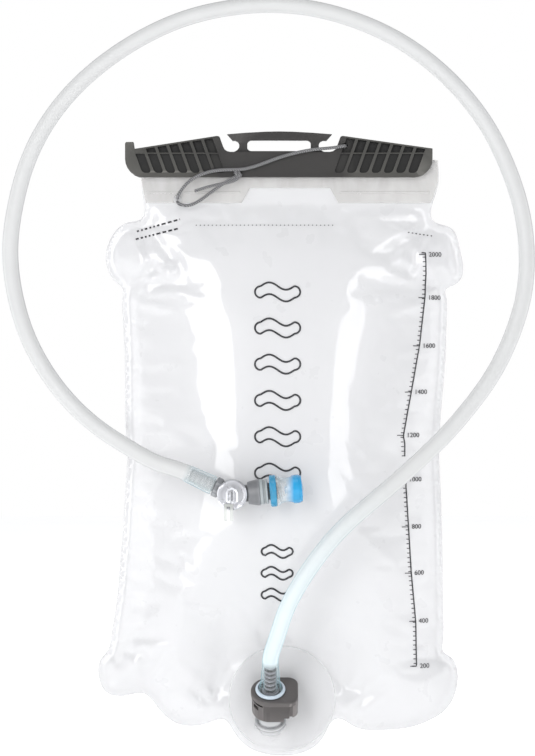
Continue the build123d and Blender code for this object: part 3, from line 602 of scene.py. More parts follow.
def mat_rubber():
    mat = Material("seal_rubber", 0.03, 0.5)
    mat.mottle(scale=300, dark=0.02, light=0.05)
    mat.rough(mat.uneven(scale=500, detail=2, low=0.4, high=0.6))
    mat.bump(mat.noise(scale=2500, detail=2), strength=0.12, distance=0.0001)
    return mat


def mat_steel():
    mat = Material("spring_wire", (0.62, 0.63, 0.65), 0.28, Metallic=1.0)
    mat.mottle(scale=400, dark=(0.5, 0.51, 0.53), light=(0.72, 0.73, 0.75))
    mat.rough(mat.uneven(scale=900, detail=2, low=0.2, high=0.4))
    mat.bump(mat.noise(scale=1500, detail=2, stretch=(1, 1, 8)), strength=0.15, distance=0.0001)
    return mat


def mat_ink():
    mat = Material("print_ink", (0.02, 0.02, 0.025), 0.4)
    mat.mottle(scale=900, dark=(0.010, 0.010, 0.014), light=(0.05, 0.05, 0.055), top=0.75)
    mat.rough(mat.uneven(scale=700, detail=2, low=0.3, high=0.5))
    mat.bump(mat.noise(scale=2500, detail=2), strength=0.15, distance=0.00005)
    return mat


MATERIALS = {
    "film": mat_film(),
    "rail": mat_rail(),
    "clear": mat_port(),
    "tab": mat_tab(),
    "closure": mat_closure(),
    "coupler": moulded("coupler_plastic", (0.072, 0.066, 0.065), 0.44, deep=0.2, worn=2.2,
                       gloss=0.3),
    "barb": ribbed("barb_plastic", (0.30, 0.305, 0.315), 0.34, origin=VALVE_START,
                   axis=VALVE_AXIS, start=0.0006, pitch=0.0033, hollow_shade=0.80, crest_highlight=1.15,
                   deep=0.8),
    "barb_dark": ribbed("barb_dark_plastic", (0.080, 0.080, 0.088), 0.36, origin=PORT_CENTRE,
                        axis=PORT_AXIS, start=0.002, pitch=0.0032, hollow_shade=0.10, crest_highlight=2.9,
                        recess=0.0012, worn=2.0, deep=0.8),
    "shutoff": moulded("shutoff_plastic", (0.17, 0.175, 0.185), 0.36, deep=0.3, worn=1.7),
    "knob": moulded("knob_plastic", (0.42, 0.425, 0.45), 0.28, metallic=0.6, vary=0.16,
                    recess=0.0012, deep=0.10, worn=2.2),
    "outlet": moulded("outlet_plastic", (0.30, 0.33, 0.34), 0.34, deep=0.3),
    "collar": moulded("collar_plastic", (0.38, 0.44, 0.50), 0.20, vary=0.06, coat=0.5,
                      recess=0.001, deep=0.8),
    "hose": mat_hose(),
    "blue": mat_silicone(),
    "sheath": mat_sheath(),
    "cord": mat_cord(),
    "seal": mat_rubber(),
    "steel": mat_steel(),
    "ink": mat_ink(),
}

# ---------------------------------------------------------------- bag film: outline
# Cut edge of the film, clockwise seen from the front: x, z in mm
OUTLINE = [
    (-82.6, -8.0), (95.6, -8.0), (96.0, -22.0), (94.2, -29.0), (91.7, -35.4), (90.6, -41.7),
    (91.4, -45.3), (94.0, -46.8), (99.4, -47.3), (103.2, -48.7), (105.6, -50.6),
    (107.4, -56.4), (109.2, -64.8), (110.9, -73.0), (110.6, -78.0), (107.6, -82.4),
    (102.4, -84.7), (98.2, -85.6), (99.6, -87.8), (101.2, -92.0), (100.6, -104.4),
    (99.9, -128.4), (98.6, -144.0), (97.1, -160.6), (96.0, -182.4), (96.4, -196.0),
    (97.3, -212.4), (98.1, -248.4), (98.5, -270.9), (98.9, -290.4), (98.3, -299.4),
    (97.2, -304.2), (101.0, -304.8), (105.3, -307.8), (107.4, -314.4), (107.4, -321.0),
    (105.6, -329.4), (102.6, -335.4), (96.6, -341.4), (89.1, -345.2), (81.6, -348.2),
    (73.4, -349.7), (63.6, -350.4), (54.6, -350.8), (47.1, -349.4), (41.9, -346.3),
    (38.1, -343.2), (35.1, -342.1), (32.7, -342.8), (30.4, -346.0), (28.0, -352.0),
    (24.0, -358.0), (17.0, -362.8), (8.0, -365.2), (-3.0, -365.4), (-10.6, -363.8),
    (-16.4, -362.0), (-22.8, -357.0), (-27.6, -351.0), (-29.8, -345.6), (-32.8, -342.2),
    (-37.8, -343.8), (-44.4, -346.8), (-51.0, -348.0), (-57.6, -348.0), (-64.2, -345.5),
    (-70.0, -340.6), (-75.0, -334.0), (-79.0, -328.6), (-83.2, -327.6), (-90.0, -329.4),
    (-96.4, -330.6), (-103.0, -329.0), (-106.7, -324.8), (-108.7, -317.4), (-108.6, -310.8),
    (-107.2, -306.8), (-101.8, -302.6), (-101.4, -298.0), (-99.6, -287.4), (-97.6, -273.6),
    (-95.4, -253.0), (-93.9, -235.6), (-92.5, -212.4), (-91.3, -193.0), (-90.6, -183.6),
    (-92.1, -171.0), (-92.4, -151.2), (-92.5, -128.0), (-93.4, -104.6), (-94.3, -93.2),
    (-93.9, -88.8), (-92.2, -85.6), (-97.4, -82.3), (-100.5, -79.3), (-102.4, -75.5),
    (-104.0, -69.4), (-104.3, -64.8), (-102.4, -57.9), (-99.0, -51.8), (-94.4, -46.9),
    (-89.8, -45.4), (-82.4, -45.1), (-81.0, -43.5), (-80.4, -35.4), (-82.2, -29.4),
]
MOUTH_Z = -35.5
WELD = 4.6              # weld line, in from the cut edge
RIM_STEP = 2.6
GRID_STEP = 3.4
DISC_CENTRE = np.array([1.8, -331.0])   # port disc: x, z
DISC_SLOPE = 0.0699     # how far the disc leans, y per z
FILM_THICK = 0.35
# Places where the seam is pinched: point, direction of the folds into the bag, depth, length
PINCHES = [
    ((-92.2, -85.6), (0.95, 0.30), 2.6, 30), ((98.2, -85.6), (-0.95, 0.25), 2.6, 30),
    ((-101.8, -302.6), (0.92, 0.38), 2.2, 26), ((97.2, -304.2), (-0.92, 0.38), 2.2, 26),
    ((-32.8, -342.2), (-0.30, 0.95), 2.2, 26), ((35.1, -342.1), (0.35, 0.94), 2.2, 26),
    ((-82.0, -45.0), (0.75, -0.66), 2.4, 30), ((90.8, -45.0), (-0.75, -0.66), 2.4, 30),
    ((-79.0, -328.6), (0.55, 0.83), 1.8, 24),
]
# Fullness of each panel: z, depth in the middle, depth at the sides
DEPTHS = [
    (-366, 0.4, 0.4), (-359, 4.2, 4.2), (-350, 5.2, 8.5), (-341, 6.0, 12.0),
    (-331, 6.8, 14.8), (-322, 7.6, 16.8), (-310, 8.6, 18.8), (-299, 10.6, 20.6),
    (-288, 15.2, 22.2), (-275, 20.2, 23.6), (-255, 24.2, 25.2), (-230, 25.8, 26.0),
    (-200, 26.0, 26.2), (-165, 25.6, 25.6), (-130, 23.6, 23.6), (-104, 20.5, 20.8),
    (-88, 17.5, 18.2), (-78, 15.2, 16.2), (-66, 11.4, 13.4), (-54, 7.0, 10.0),
    (-46, 3.6, 7.0), (-38, 1.0, 3.0), (-35.5, 0.2, 0.4),
]


def resample(loop, step):
    """The closed loop at equal steps, with its corners softened."""
    closed = np.array(loop + [loop[0]], float)
    lengths = lengths_along(closed)
    count = int(lengths[-1] / step)
    points = points_at(closed, lengths, np.arange(count) * lengths[-1] / count)
    for _ in range(2):
        points = 0.25 * np.roll(points, 1, 0) + 0.5 * points + 0.25 * np.roll(points, -1, 0)
    return points


def dist_to(loop, points):
    nearest = np.full(len(points), 1e9)
    for start, end in zip(loop, np.roll(loop, -1, 0)):
        edge = end - start
        t = np.clip(((points - start) @ edge) / (edge @ edge), 0, 1)
        nearest = np.minimum(nearest, np.hypot(*(points - (start + t[:, None] * edge)).T))
    return nearest


def inside(loop, points):
    result = np.zeros(len(points), bool)
    for (x0, z0), (x1, z1) in zip(loop, np.roll(loop, -1, 0)):
        spans = (z0 > points[:, 1]) != (z1 > points[:, 1])
        with np.errstate(divide="ignore", invalid="ignore"):
            crossing = (x1 - x0) * (points[:, 1] - z0) / (z1 - z0) + x0
        result ^= spans & (points[:, 0] < crossing)
    return result


def weld_line():
    tangent = np.roll(RIM, -1, 0) - np.roll(RIM, 1, 0)
    tangent /= np.linalg.norm(tangent, axis=1)[:, None]
    inward = np.stack([tangent[:, 1], -tangent[:, 0]], 1)
    seam = RIM + inward * WELD
    return seam[(dist_to(RIM, seam) > WELD - 0.35) & (seam[:, 1] < MOUTH_Z - 1.0)]


RIM = resample(OUTLINE, RIM_STEP)


def make_panel_grid(step):
    """Flat triangle mesh of one panel, with vertices on the rim, weld line and mouth."""
    mouth_x = np.arange(84, -76, -3.0)
    mouth = np.stack([mouth_x, np.full_like(mouth_x, MOUTH_Z)], 1)
    grid = []
    row = 0
    z = -366.0
    while z < -8:
        x = -112 + (step / 2 if row % 2 else 0)
        while x < 114:
            grid.append((x, z))
            x += step
        z += step * 0.866
        row += 1
    grid = np.array(grid)
    grid = grid + np.random.default_rng(3).uniform(-0.12, 0.12, grid.shape) * step
    grid = grid[inside(RIM, grid)]
    edge = dist_to(RIM, grid)
    # leave room round the rim, weld line and mouth
    grid = grid[(edge > 1.6) & (np.abs(edge - WELD) > step * 0.42)
                & (np.abs(grid[:, 1] - MOUTH_Z) > step * 0.4)]
    points = [Vector(p) for p in np.vstack([RIM, weld_line(), mouth, grid])]
    verts, _, faces, *_ = geometry.delaunay_2d_cdt(points, [], [list(range(len(RIM)))], 1, 1e-5)
    return np.array([(v.x, v.y) for v in verts]), [tuple(f) for f in faces]


GRID, GRID_FACES = make_panel_grid(GRID_STEP)
RIM_DIST = dist_to(RIM, GRID)
# distance from the weld line or the mouth, both of which hold the two panels together
HELD_DIST = np.maximum(np.minimum(RIM_DIST - WELD, MOUTH_Z - GRID[:, 1]), 0)
DISC_DIST = np.hypot(GRID[:, 0] - DISC_CENTRE[0], GRID[:, 1] - DISC_CENTRE[1])


# ---------------------------------------------------------------- bag film: fullness
def pillow():
    """Rise from the seam, 0 to 1, full at the given span."""
    span = 86.0
    return (1 - (1 - np.clip(HELD_DIST / span, 0, 1)) ** 2.3) ** 0.72


def lean(z):
    """How far the welded plane stands forward as it follows the rigid port disc at the foot."""
    plane = 4.4 + (z + 365.4) * DISC_SLOPE
    low = 1 - smoothstep(36, 62, DISC_DIST)
    return -np.clip(plane, 3.6, 7.5) * low * smoothstep(-322, -338, z)


def depth_at(x, z):
    to_side = smoothstep(30, 62, np.abs(x - DISC_CENTRE[0]))
    near_top = smoothstep(-92, -60, z)
    to_side = np.where(z > -92, smoothstep(40, 84, np.abs(x - 5)) * near_top, to_side)
    return lookup(DEPTHS, z) * (1 - to_side) + lookup(DEPTHS, z, column=2) * to_side


def folds(seed):
    """Soft creases that run in from each pinched place on the seam."""
    height = np.zeros(len(GRID))
    draw = random.Random(seed)
    for (px, pz), (dx, dz), amp, length in PINCHES:
        for j in range(4):
            angle = (j - 1.5) * 0.34 + draw.uniform(-0.1, 0.1)
            cos, sin = math.cos(angle), math.sin(angle)
            ux, uz = dx * cos - dz * sin, dx * sin + dz * cos
            offset = GRID - np.array([px, pz])
            along = offset @ np.array([ux, uz])
            wander = 1.4 * np.sin(along * 0.09 + draw.uniform(0, 6))
            across = offset @ np.array([-uz, ux]) + wander
            reach = length * draw.uniform(0.7, 1.25)
            width = 1.7 + 0.07 * np.clip(along, 0, None)
            fade = smoothstep(0, 5, along) * (1 - smoothstep(reach * 0.45, reach * 1.5, along))
            # a valley with a low ridge on each side
            height += -amp * draw.uniform(0.5, 1.0) * fade * np.exp(-(across / width) ** 2)
            ridge = (np.abs(across) - width * 1.7) / (width * 0.9)
            height += amp * 0.45 * fade * np.exp(-ridge ** 2)
    return height


def ripples(seed):
    """Small tight puckers square to the weld, where flat film is pulled round a curve."""
    draw = np.random.default_rng(seed)
    near = np.exp(-(HELD_DIST / 9.0) ** 1.2) * smoothstep(0, 1.5, HELD_DIST)
    x, z = GRID[:, 0], GRID[:, 1]
    height = np.zeros(len(GRID))
    at_side = smoothstep(0.0, 1.0, np.abs(x) / 80.0)
    waves = 9
    for _ in range(waves):
        pitch = draw.uniform(0.16, 0.75)
        phase = draw.uniform(0, 6.28)
        height += (np.sin(z * pitch + phase + 0.02 * x) * draw.uniform(0.3, 1.0)
                   * at_side / waves)
        height += (np.sin(x * pitch + phase * 2) * draw.uniform(0.3, 1.0)
                   * (1 - at_side) / waves)
    return height * near * 1.1


def relax(verts, faces, pinned):
    """Pressurised cloth on one panel, with the weld, mouth and port held. Lengths in metres."""
    frames = 16
    furthest = 0.0055
    ob = mesh_object("sim_panel", verts, faces)
    group = ob.vertex_groups.new(name="pin")
    for i in np.nonzero(pinned > 0)[0]:
        group.add([int(i)], float(pinned[i]), "REPLACE")
    cloth = ob.modifiers.new("Cloth", "CLOTH")
    assign(cloth.settings, quality=4, mass=0.12, tension_stiffness=30,
           compression_stiffness=30, shear_stiffness=12, bending_stiffness=0.35,
           air_damping=4, vertex_group_mass="pin", use_pressure=True,
           uniform_pressure_force=3.0, shrink_min=-0.004)
    cloth.settings.effector_weights.gravity = 0
    assign(cloth.collision_settings, use_collision=False, use_self_collision=False)
    assign(cloth.point_cache, frame_start=1, frame_end=frames)
    for frame in range(1, frames + 1):
        scene.frame_set(frame)
    depsgraph = bpy.context.evaluated_depsgraph_get()
    mesh = ob.evaluated_get(depsgraph).to_mesh()
    moved = np.zeros(len(verts) * 3)
    mesh.vertices.foreach_get("co", moved)
    ob.evaluated_get(depsgraph).to_mesh_clear()
    bpy.data.objects.remove(ob)
    scene.frame_set(1)
    shift = moved.reshape(-1, 3) - verts
    length = np.linalg.norm(shift, axis=1)
    share = np.where(length > furthest, furthest / np.maximum(length, 1e-9), 1.0)
    return verts + shift * share[:, None]


def build_panel(side):
    """side -1 is the front panel, +1 the back."""
    x, z = GRID[:, 0], GRID[:, 1]
    depth = depth_at(x, z)
    quiet = 1.0
    if side > 0:
        depth = depth * (1 - 0.15 * (1 - smoothstep(36, 70, DISC_DIST)))
    else:
        quiet = smoothstep(34, 44, DISC_DIST)
    creases = folds(5 + side) * smoothstep(0.3, 6, HELD_DIST) + ripples(11 + side)
    bulge = np.maximum(depth * pillow() + creases * quiet, 0.0)
    y = lean(z) + side * (0.22 + bulge)
    if side < 0:
        # the film lies flat against the back of the port disc
        disc_back = -(7.0 + (z - DISC_CENTRE[1]) * DISC_SLOPE) + 0.35
        flat = 1 - smoothstep(31.5, 36.5, DISC_DIST)
        y = y * (1 - flat) + disc_back * flat
    verts = np.stack([x, y, z], 1) * MM
    faces = [f if side < 0 else f[::-1] for f in GRID_FACES]
    # normals must point out of the bag
    a, b, c = (verts[i] for i in faces[len(faces) // 2])
    if np.cross(b - a, c - a)[1] * side < 0:
        faces = [f[::-1] for f in faces]
    pinned = np.where((HELD_DIST <= 0.05) | (RIM_DIST <= WELD + 0.1), 1.0, 0.0)
    pinned = np.maximum(pinned, smoothstep(2.5, 0.0, HELD_DIST) * 0.9)
    if side < 0:
        pinned = np.maximum(pinned, 1 - smoothstep(32, 38, DISC_DIST))
    verts = relax(verts, faces, pinned)
    return verts, faces


def finish_panel(name, panel, side):
    ob = mesh_object(name, *panel)
    bm = bmesh.new()
    bm.from_mesh(ob.data)
    bmesh.ops.recalc_face_normals(bm, faces=bm.faces)
    if sum(f.normal.y * f.calc_area() for f in bm.faces) * side < 0:
        bmesh.ops.reverse_faces(bm, faces=bm.faces)
    bm.to_mesh(ob.data)
    bm.free()
    add_modifier(ob, "Subdivision", "SUBSURF", levels=1, render_levels=1,
                 boundary_smooth="PRESERVE_CORNERS")
    apply_modifiers(ob)
    ob.data.polygons.foreach_set("use_smooth", [True] * len(ob.data.polygons))
    return ob


front_panel = build_panel(-1)
back_panel = build_panel(1)
front = finish_panel("front_film_skin", front_panel, -1)
back = finish_panel("back_film_skin", back_panel, 1)
front_skin = BVHTree.FromObject(front, bpy.context.evaluated_depsgraph_get())

# each sheet gets its own thickness, inward, with a closed rim
for film in (front, back):
    add_modifier(film, "Solidify", "SOLIDIFY", thickness=FILM_THICK * MM, offset=-1)
    apply_modifiers(film)
for film, node_name in ((front, "front_film"), (back, "back_film")):
    paint(film, MATERIALS["film"])
    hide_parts(node_name)
    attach(film, "root")

# ---------------------------------------------------------------- printed marks
# Places on the front panel are x, z in mm
INK_THICK = 0.08
LINE_LIFT, NUMBER_LIFT = 0.2, 0.3       # clear of the film
SHORT_STEP = 0.9                        # sampling of short dashes

# Left edge strokes, broken into random dashes: start, end
BROKEN_LINES = [((-85.2, -51.3), (-59.4, -44.1)), ((-85.8, -56.1), (-60.6, -49.8))]

FILL_LINE_START, FILL_LINE_PITCH = (-49.8, -47.76), 2.4
SIDE_DASH_START, SIDE_DASH_PITCH = (77.16, -52.02), (2.28, -0.33)

# The volume scale's long line, in three runs from the top down
SPINE_TOP = [(85.2, -64.38), (87.54, -64.38), (87.9, -76.8), (87.3, -90.42),
             (84.06, -119.1), (79.08, -146.76), (74.16, -173.58)]
SPINE_MIDDLE = [(74.16, -173.58), (75.0, -178.2), (75.0, -186.0)]
SPINE_LOW = [(77.58, -199.8), (75.6, -201.84), (77.22, -227.88), (78.96, -256.14),
             (81.6, -284.64), (82.2, -311.4), (79.56, -311.4)]
# Numbered levels of the scale: number, z
LEVELS = [(2000, -65.4), (1800, -91.2), (1600, -120.0), (1400, -147.6), (1200, -173.4),
          (1000, -199.8), (800, -228.0), (600, -255.6), (400, -284.4), (200, -311.4)]
TICK_LENGTH = 3.9
NUMBER_GAP, NUMBER_SIZE = 1.92, 3.9
SMALL_TICKS, SMALL_TICK_TOP, SMALL_TICK_PITCH = 89, -66.96, 2.76
SMALL_TICK_FAR, SMALL_TICK_NEAR = 1.8, 0.24     # its two ends, left of the long line
TICK_GAP = (-199.8, -186.6)                     # no small ticks between these heights


def on_skin(x, z, lift):
    """Point in front of the front panel at x, z (mm), or None off the film."""
    hit = front_skin.ray_cast(Vector((x * MM, -0.2, z * MM)), Vector((0, 1, 0)))[0]
    if hit is None:
        return None
    return hit + Vector((0, -1, 0)) * (lift * MM)


def finish_print(ob):
    add_modifier(ob, "Solidify", "SOLIDIFY", thickness=INK_THICK * MM, offset=1)
    paint(ob, MATERIALS["ink"])
    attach(ob, "root")


def surface_ribbon(name, lines, width, step=1.2, closed=False):
    """Thin printed lines lying on the front panel."""
    verts, faces = [], []
    for line in lines:
        points = np.array(line, float)
        if closed:
            points = np.vstack([points, points[:1]])
        lengths = lengths_along(points)
        count = max(int(lengths[-1] / step), 1)
        points = points_at(points, lengths, np.linspace(0, lengths[-1], count + 1))
        tangent = np.gradient(points, axis=0)
        tangent /= np.maximum(np.linalg.norm(tangent, axis=1), 1e-9)[:, None]
        normal = np.stack([-tangent[:, 1], tangent[:, 0]], 1)
        last = None
        for point, across in zip(points, normal):
            row = [on_skin(*(point + across * width * k), LINE_LIFT) for k in (-0.5, 0.5)]
            if None in row:
                last = None
                continue
            now = len(verts)
            verts += row
            if last is not None:
                faces.append([last, last + 1, now + 1, now])
            last = now
    ob = mesh_object(name, verts, faces)
    bm = bmesh.new()
    bm.from_mesh(ob.data)
    bmesh.ops.recalc_face_normals(bm, faces=bm.faces)
    for face in bm.faces:
        if face.normal.y > 0:
            face.normal_flip()
    bm.to_mesh(ob.data)
    bm.free()
    finish_print(ob)


def broken_dashes():
    dashes = []
    draw = random.Random(4)
    for start, end in BROKEN_LINES:
        start, run = np.array(start), np.subtract(end, start)
        t = 0.0
        while t < 1.0:
            share = draw.uniform(0.03, 0.10)
            dashes.append([start + run * t, start + run * min(t + share, 1)])
            t += share + 0.05
    return dashes


def fill_line_dashes():
    """A dotted level line, and a short sloping row of dashes at its right."""
    dashes = []
    x, z = FILL_LINE_START
    for k in range(35):
        left = x + k * FILL_LINE_PITCH
        dashes.append([(left, z), (left + 0.55, z)])
    for k in range(7):
        x, z = np.add(SIDE_DASH_START, np.multiply(SIDE_DASH_PITCH, k))
        dashes.append([(x, z), (x + 0.9, z - 0.1)])
    return dashes


def spine_x(z):
    """Where the scale's long line stands at a height."""
    run = SPINE_TOP[1:] + SPINE_MIDDLE[-1:] + SPINE_LOW[1:-1]
    return float(lookup([(-pz, px) for px, pz in run], -z))


def scale_ticks():
    ticks = [[(spine_x(z) - TICK_LENGTH, z), (spine_x(z), z)] for _, z in LEVELS]
    for k in range(SMALL_TICKS):
        z = SMALL_TICK_TOP - k * SMALL_TICK_PITCH
        if not TICK_GAP[0] < z < TICK_GAP[1]:
            x = spine_x(z)
            ticks.append([(x - SMALL_TICK_FAR, z), (x - SMALL_TICK_NEAR, z)])
    return ticks


def wave_band(cx, cz, width, height, amp):
    """Outline of one plain wavy bar with round ends."""
    half = height / 2
    steps = 40

    def edge(i, side):
        u = i / steps
        return (cx - width / 2 + u * width, cz + side * half + amp * math.sin(u * 2 * math.pi))

    def end(side):
        angles = [side * math.pi / 2 - i * math.pi / 8 for i in range(1, 8)]
        return [(cx + side * width / 2 + side * half * abs(math.cos(a)) * (1 if side > 0 else -1)
                 * side if False else
                 cx + side * width / 2 + half * math.cos(a), cz + half * math.sin(a))
                for a in angles]

    return ([edge(i, 1) for i in range(steps + 1)] + end(1)
            + [edge(i, -1) for i in range(steps, -1, -1)] + end(-1))


def number_mesh(text):
    curve = bpy.data.curves.new("number", "FONT")
    assign(curve, body=text, size=NUMBER_SIZE, align_x="LEFT", align_y="CENTER", resolution_u=4)
    ob = link(bpy.data.objects.new("number", curve))
    depsgraph = bpy.context.evaluated_depsgraph_get()
    mesh = bpy.data.meshes.new_from_object(ob.evaluated_get(depsgraph))
    bpy.data.objects.remove(ob)
    bpy.data.curves.remove(curve)
    return mesh


def scale_numbers():
    verts, faces = [], []
    for number, level_z in LEVELS:
        mesh = number_mesh(str(number))
        left = spine_x(level_z) + NUMBER_GAP
        base = len(verts)
        for v in mesh.vertices:
            x, z = left + v.co.x, level_z + v.co.y
            verts.append(on_skin(x, z, NUMBER_LIFT) or Vector((x, -20, z)) * MM)
        for face in mesh.polygons:
            faces.append([base + i for i in face.vertices])
        bpy.data.meshes.remove(mesh)
    finish_print(mesh_object("print_scale_numbers", verts, faces, smooth=False))


surface_ribbon("print_small_dashes", broken_dashes(), width=1.0, step=SHORT_STEP)
surface_ribbon("print_fill_line", fill_line_dashes(), width=0.6, step=SHORT_STEP)
surface_ribbon("print_scale_line", [SPINE_TOP, SPINE_MIDDLE, SPINE_LOW], width=0.7)
surface_ribbon("print_scale_ticks", scale_ticks(), width=0.45, step=SHORT_STEP)
waves = [wave_band(-0.9, -88.0 - 21.5 * k, width=20.0, height=7.0, amp=2.2) for k in range(6)]
waves += [wave_band(-1.2, -242.0 - 13.0 * k, width=14.0, height=4.6, amp=1.6) for k in range(3)]
surface_ribbon("print_waves", waves, width=1.1, step=0.8, closed=True)
scale_numbers()

# ---------------------------------------------------------------- hose
HOSE_TOP = (-6.6, -20.0, 82.6)
# Centre line in mm from the port, up the right, over the top and down the left to the valve
HOSE_POINTS = [tuple(PORT_CENTRE + PORT_AXIS * t) for t in (0.4, 4, 8, 12, 16, 20.8, 23.8)] + [
    (-1.8, -49.2, -292.6), (4.2, -54.2, -274.6), (10.6, -55.4, -262.0), (20.4, -55.2, -247.0),
    (36.6, -54.0, -227.6), (51.0, -52.0, -214.6), (66.6, -49.8, -201.6), (82.0, -47.6, -187.8),
    (96.6, -45.4, -173.8), (109.4, -43.0, -159.4), (125.0, -39.6, -138.4),
    (137.0, -36.2, -114.7), (144.7, -33.0, -89.1), (146.4, -30.2, -62.4), (142.7, -27.6, -36.1),
    (134.3, -25.4, -11.1), (122.4, -23.6, 12.1), (106.6, -22.2, 32.6), (87.8, -21.2, 50.1),
    (66.5, -20.6, 64.1), (43.2, -20.2, 74.2), (18.6, -20.0, 80.6), HOSE_TOP,
    (-31.8, -20.0, 80.4), (-56.4, -20.0, 74.4), (-79.6, -20.0, 64.2), (-101.3, -20.0, 50.5),
    (-121.0, -20.0, 33.5), (-137.4, -20.2, 13.1), (-149.4, -20.6, -10.4), (-156.5, -21.6, -35.9),
    (-159.6, -23.4, -62.4), (-156.8, -26.2, -88.9), (-149.1, -29.6, -114.2),
    (-136.6, -33.0, -137.0), (-121.4, -36.2, -155.6), (-104.6, -39.2, -170.0),
    (-87.0, -41.4, -181.2), (-69.6, -43.2, -190.0),
] + [tuple(VALVE_START + VALVE_AXIS * t) for t in (-4.5, -1.5, 3, 8, 12, 15.4)]
# Radii where the hose is stretched over a barb: distance from that end (negative at the
# valve), radius
PORT_OUTER = [(0, 7.0), (1.0, 6.9), (3.6, 6.2), (7.6, 5.7), (13.6, 5.3), (20.4, 4.8), (26, 4.75)]
VALVE_OUTER = [(-20, 4.75), (-15, 5.2), (-8, 5.4), (-1, 5.65), (0, 5.45)]
PORT_INNER = [(0, 4.15), (17.8, 4.15), (19.6, 3.4), (24, 3.2)]
VALVE_INNER = [(-18, 3.2), (-15, 4.15), (0, 4.15)]


def length_at_vertices(ob, centre, lengths):
    """Distance along the tube of the centre point nearest to each vertex."""
    places = vertex_places(ob)
    result = np.zeros(len(places))
    chunk = 4096
    for i in range(0, len(places), chunk):
        gap = np.linalg.norm(places[i:i + chunk, None, :] - (centre * MM)[None], axis=2)
        result[i:i + chunk] = lengths[np.argmin(gap, axis=1)]
    return result


def build_hose():
    centre, lengths = natural_cubic(HOSE_POINTS, step=1.6)
    total = lengths[-1]
    from_end = lengths - total
    outer = np.where(from_end > -26, lookup(VALVE_OUTER, from_end), lookup(PORT_OUTER, lengths))
    inner = np.where(from_end > -22, lookup(VALVE_INNER, from_end), lookup(PORT_INNER, lengths))
    hose = tube_mesh("drink_hose", centre * MM, outer * MM, inner * MM, seg=32)
    paint(hose, MATERIALS["hose"])
    along = length_at_vertices(hose, centre, lengths)
    clear = np.maximum(1 - smoothstep(19.0, 25.0, along),
                       0.75 * smoothstep(total - 18.5, total - 16.0, along))
    teal = 1 - smoothstep(40.0, 170.0, along)
    for name, values in (("clear", clear), ("teal", teal)):
        set_values(hose.data.attributes.new(name, "FLOAT", "POINT"), values)
    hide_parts("drink_hose_lower", "drink_hose_upper")
    top = np.array(HOSE_TOP)
    half_blend = np.array([0.03, 0, 0])
    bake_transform(hose, "hose_lower", "hose_upper", top * MM + half_blend, top * MM - half_blend)
    # the blend is measured along the tube, so both limbs of the loop stay round
    top_length = lengths[int(np.argmin(np.linalg.norm(centre - top, axis=1)))]
    set_values(hose.data.attributes["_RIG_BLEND"],
               smoothstep(top_length - 34, top_length + 34, along))


build_hose()

# ---------------------------------------------------------------- tether cord
# Centre lines in mm, from the closure to the bag's neck and back
CORD = [
    (39.6, 9.6, -0.2), (39.6, 4.0, -0.2), (39.6, -3.0, -0.2), (39.0, -7.4, -0.4),
    (34.0, -8.6, -1.3), (21.0, -8.4, -2.6), (10.2, -8.2, -4.6), (-3.0, -8.2, -8.5),
    (-13.0, -8.4, -12.2), (-22.0, -8.6, -14.4), (-33.6, -8.4, -14.8), (-46.2, -8.2, -17.4),
    (-53.7, -7.4, -21.6), (-58.4, -6.2, -26.8), (-60.6, -4.2, -30.4), (-60.9, 0.0, -31.3),
    (-60.9, 3.6, -31.2), (-60.9, 6.0, -32.4), (-60.9, 3.6, -33.8), (-60.9, 0.0, -33.6),
    (-60.2, -3.4, -34.6), (-55.4, -5.6, -36.0), (-47.8, -6.4, -33.2), (-37.8, -7.0, -26.0),
    (-31.4, -7.4, -21.8), (-23.4, -7.8, -17.4),
]
LOOSE_STRAND = [(-23.4, -7.6, -18.2), (-24.6, -7.8, -19.6), (-33.6, -7.6, -22.9),
                (-44.0, -7.2, -25.4), (-50.4, -6.6, -27.4)]
CORD_STEP = 0.45
CORD_RADIUS, KNOT_CORD_RADIUS = 0.93, 0.85


def braid(i, angle):
    """Relief of the braid at a ring and an angle round it."""
    turn = i * CORD_STEP * 2.3
    return 0.055 * math.sin(4 * angle + turn) * math.sin(4 * angle - turn) * MM


def cord_piece(name, centre, radius, seg):
    ob = tube_mesh(name, centre * MM, radius * MM, seg=seg, relief=braid)
    paint(ob, MATERIALS["cord"])
    return ob


def knot_piece(name, centre, radius, turns, along_y=False):
    """A few turns of cord round the strand, along X or Y."""
    cx, cy, cz = centre
    steps = 16
    points = []
    for i in range(turns * steps + 1):
        angle = 2 * math.pi * i / steps
        swell = radius * (1 + 0.12 * math.sin(angle * 0.5))
        points.append((cx - 0.9 * turns + 1.8 * turns * i / (turns * steps),
                       cy + swell * math.cos(angle) * 0.9, cz + swell * math.sin(angle)))
    curve, _ = natural_cubic(points, step=0.5)
    if along_y:
        curve = np.stack([curve[:, 1] - cy + cx, curve[:, 0] - cx + cy, curve[:, 2]], 1)
    return cord_piece(name, curve, KNOT_CORD_RADIUS, seg=12)


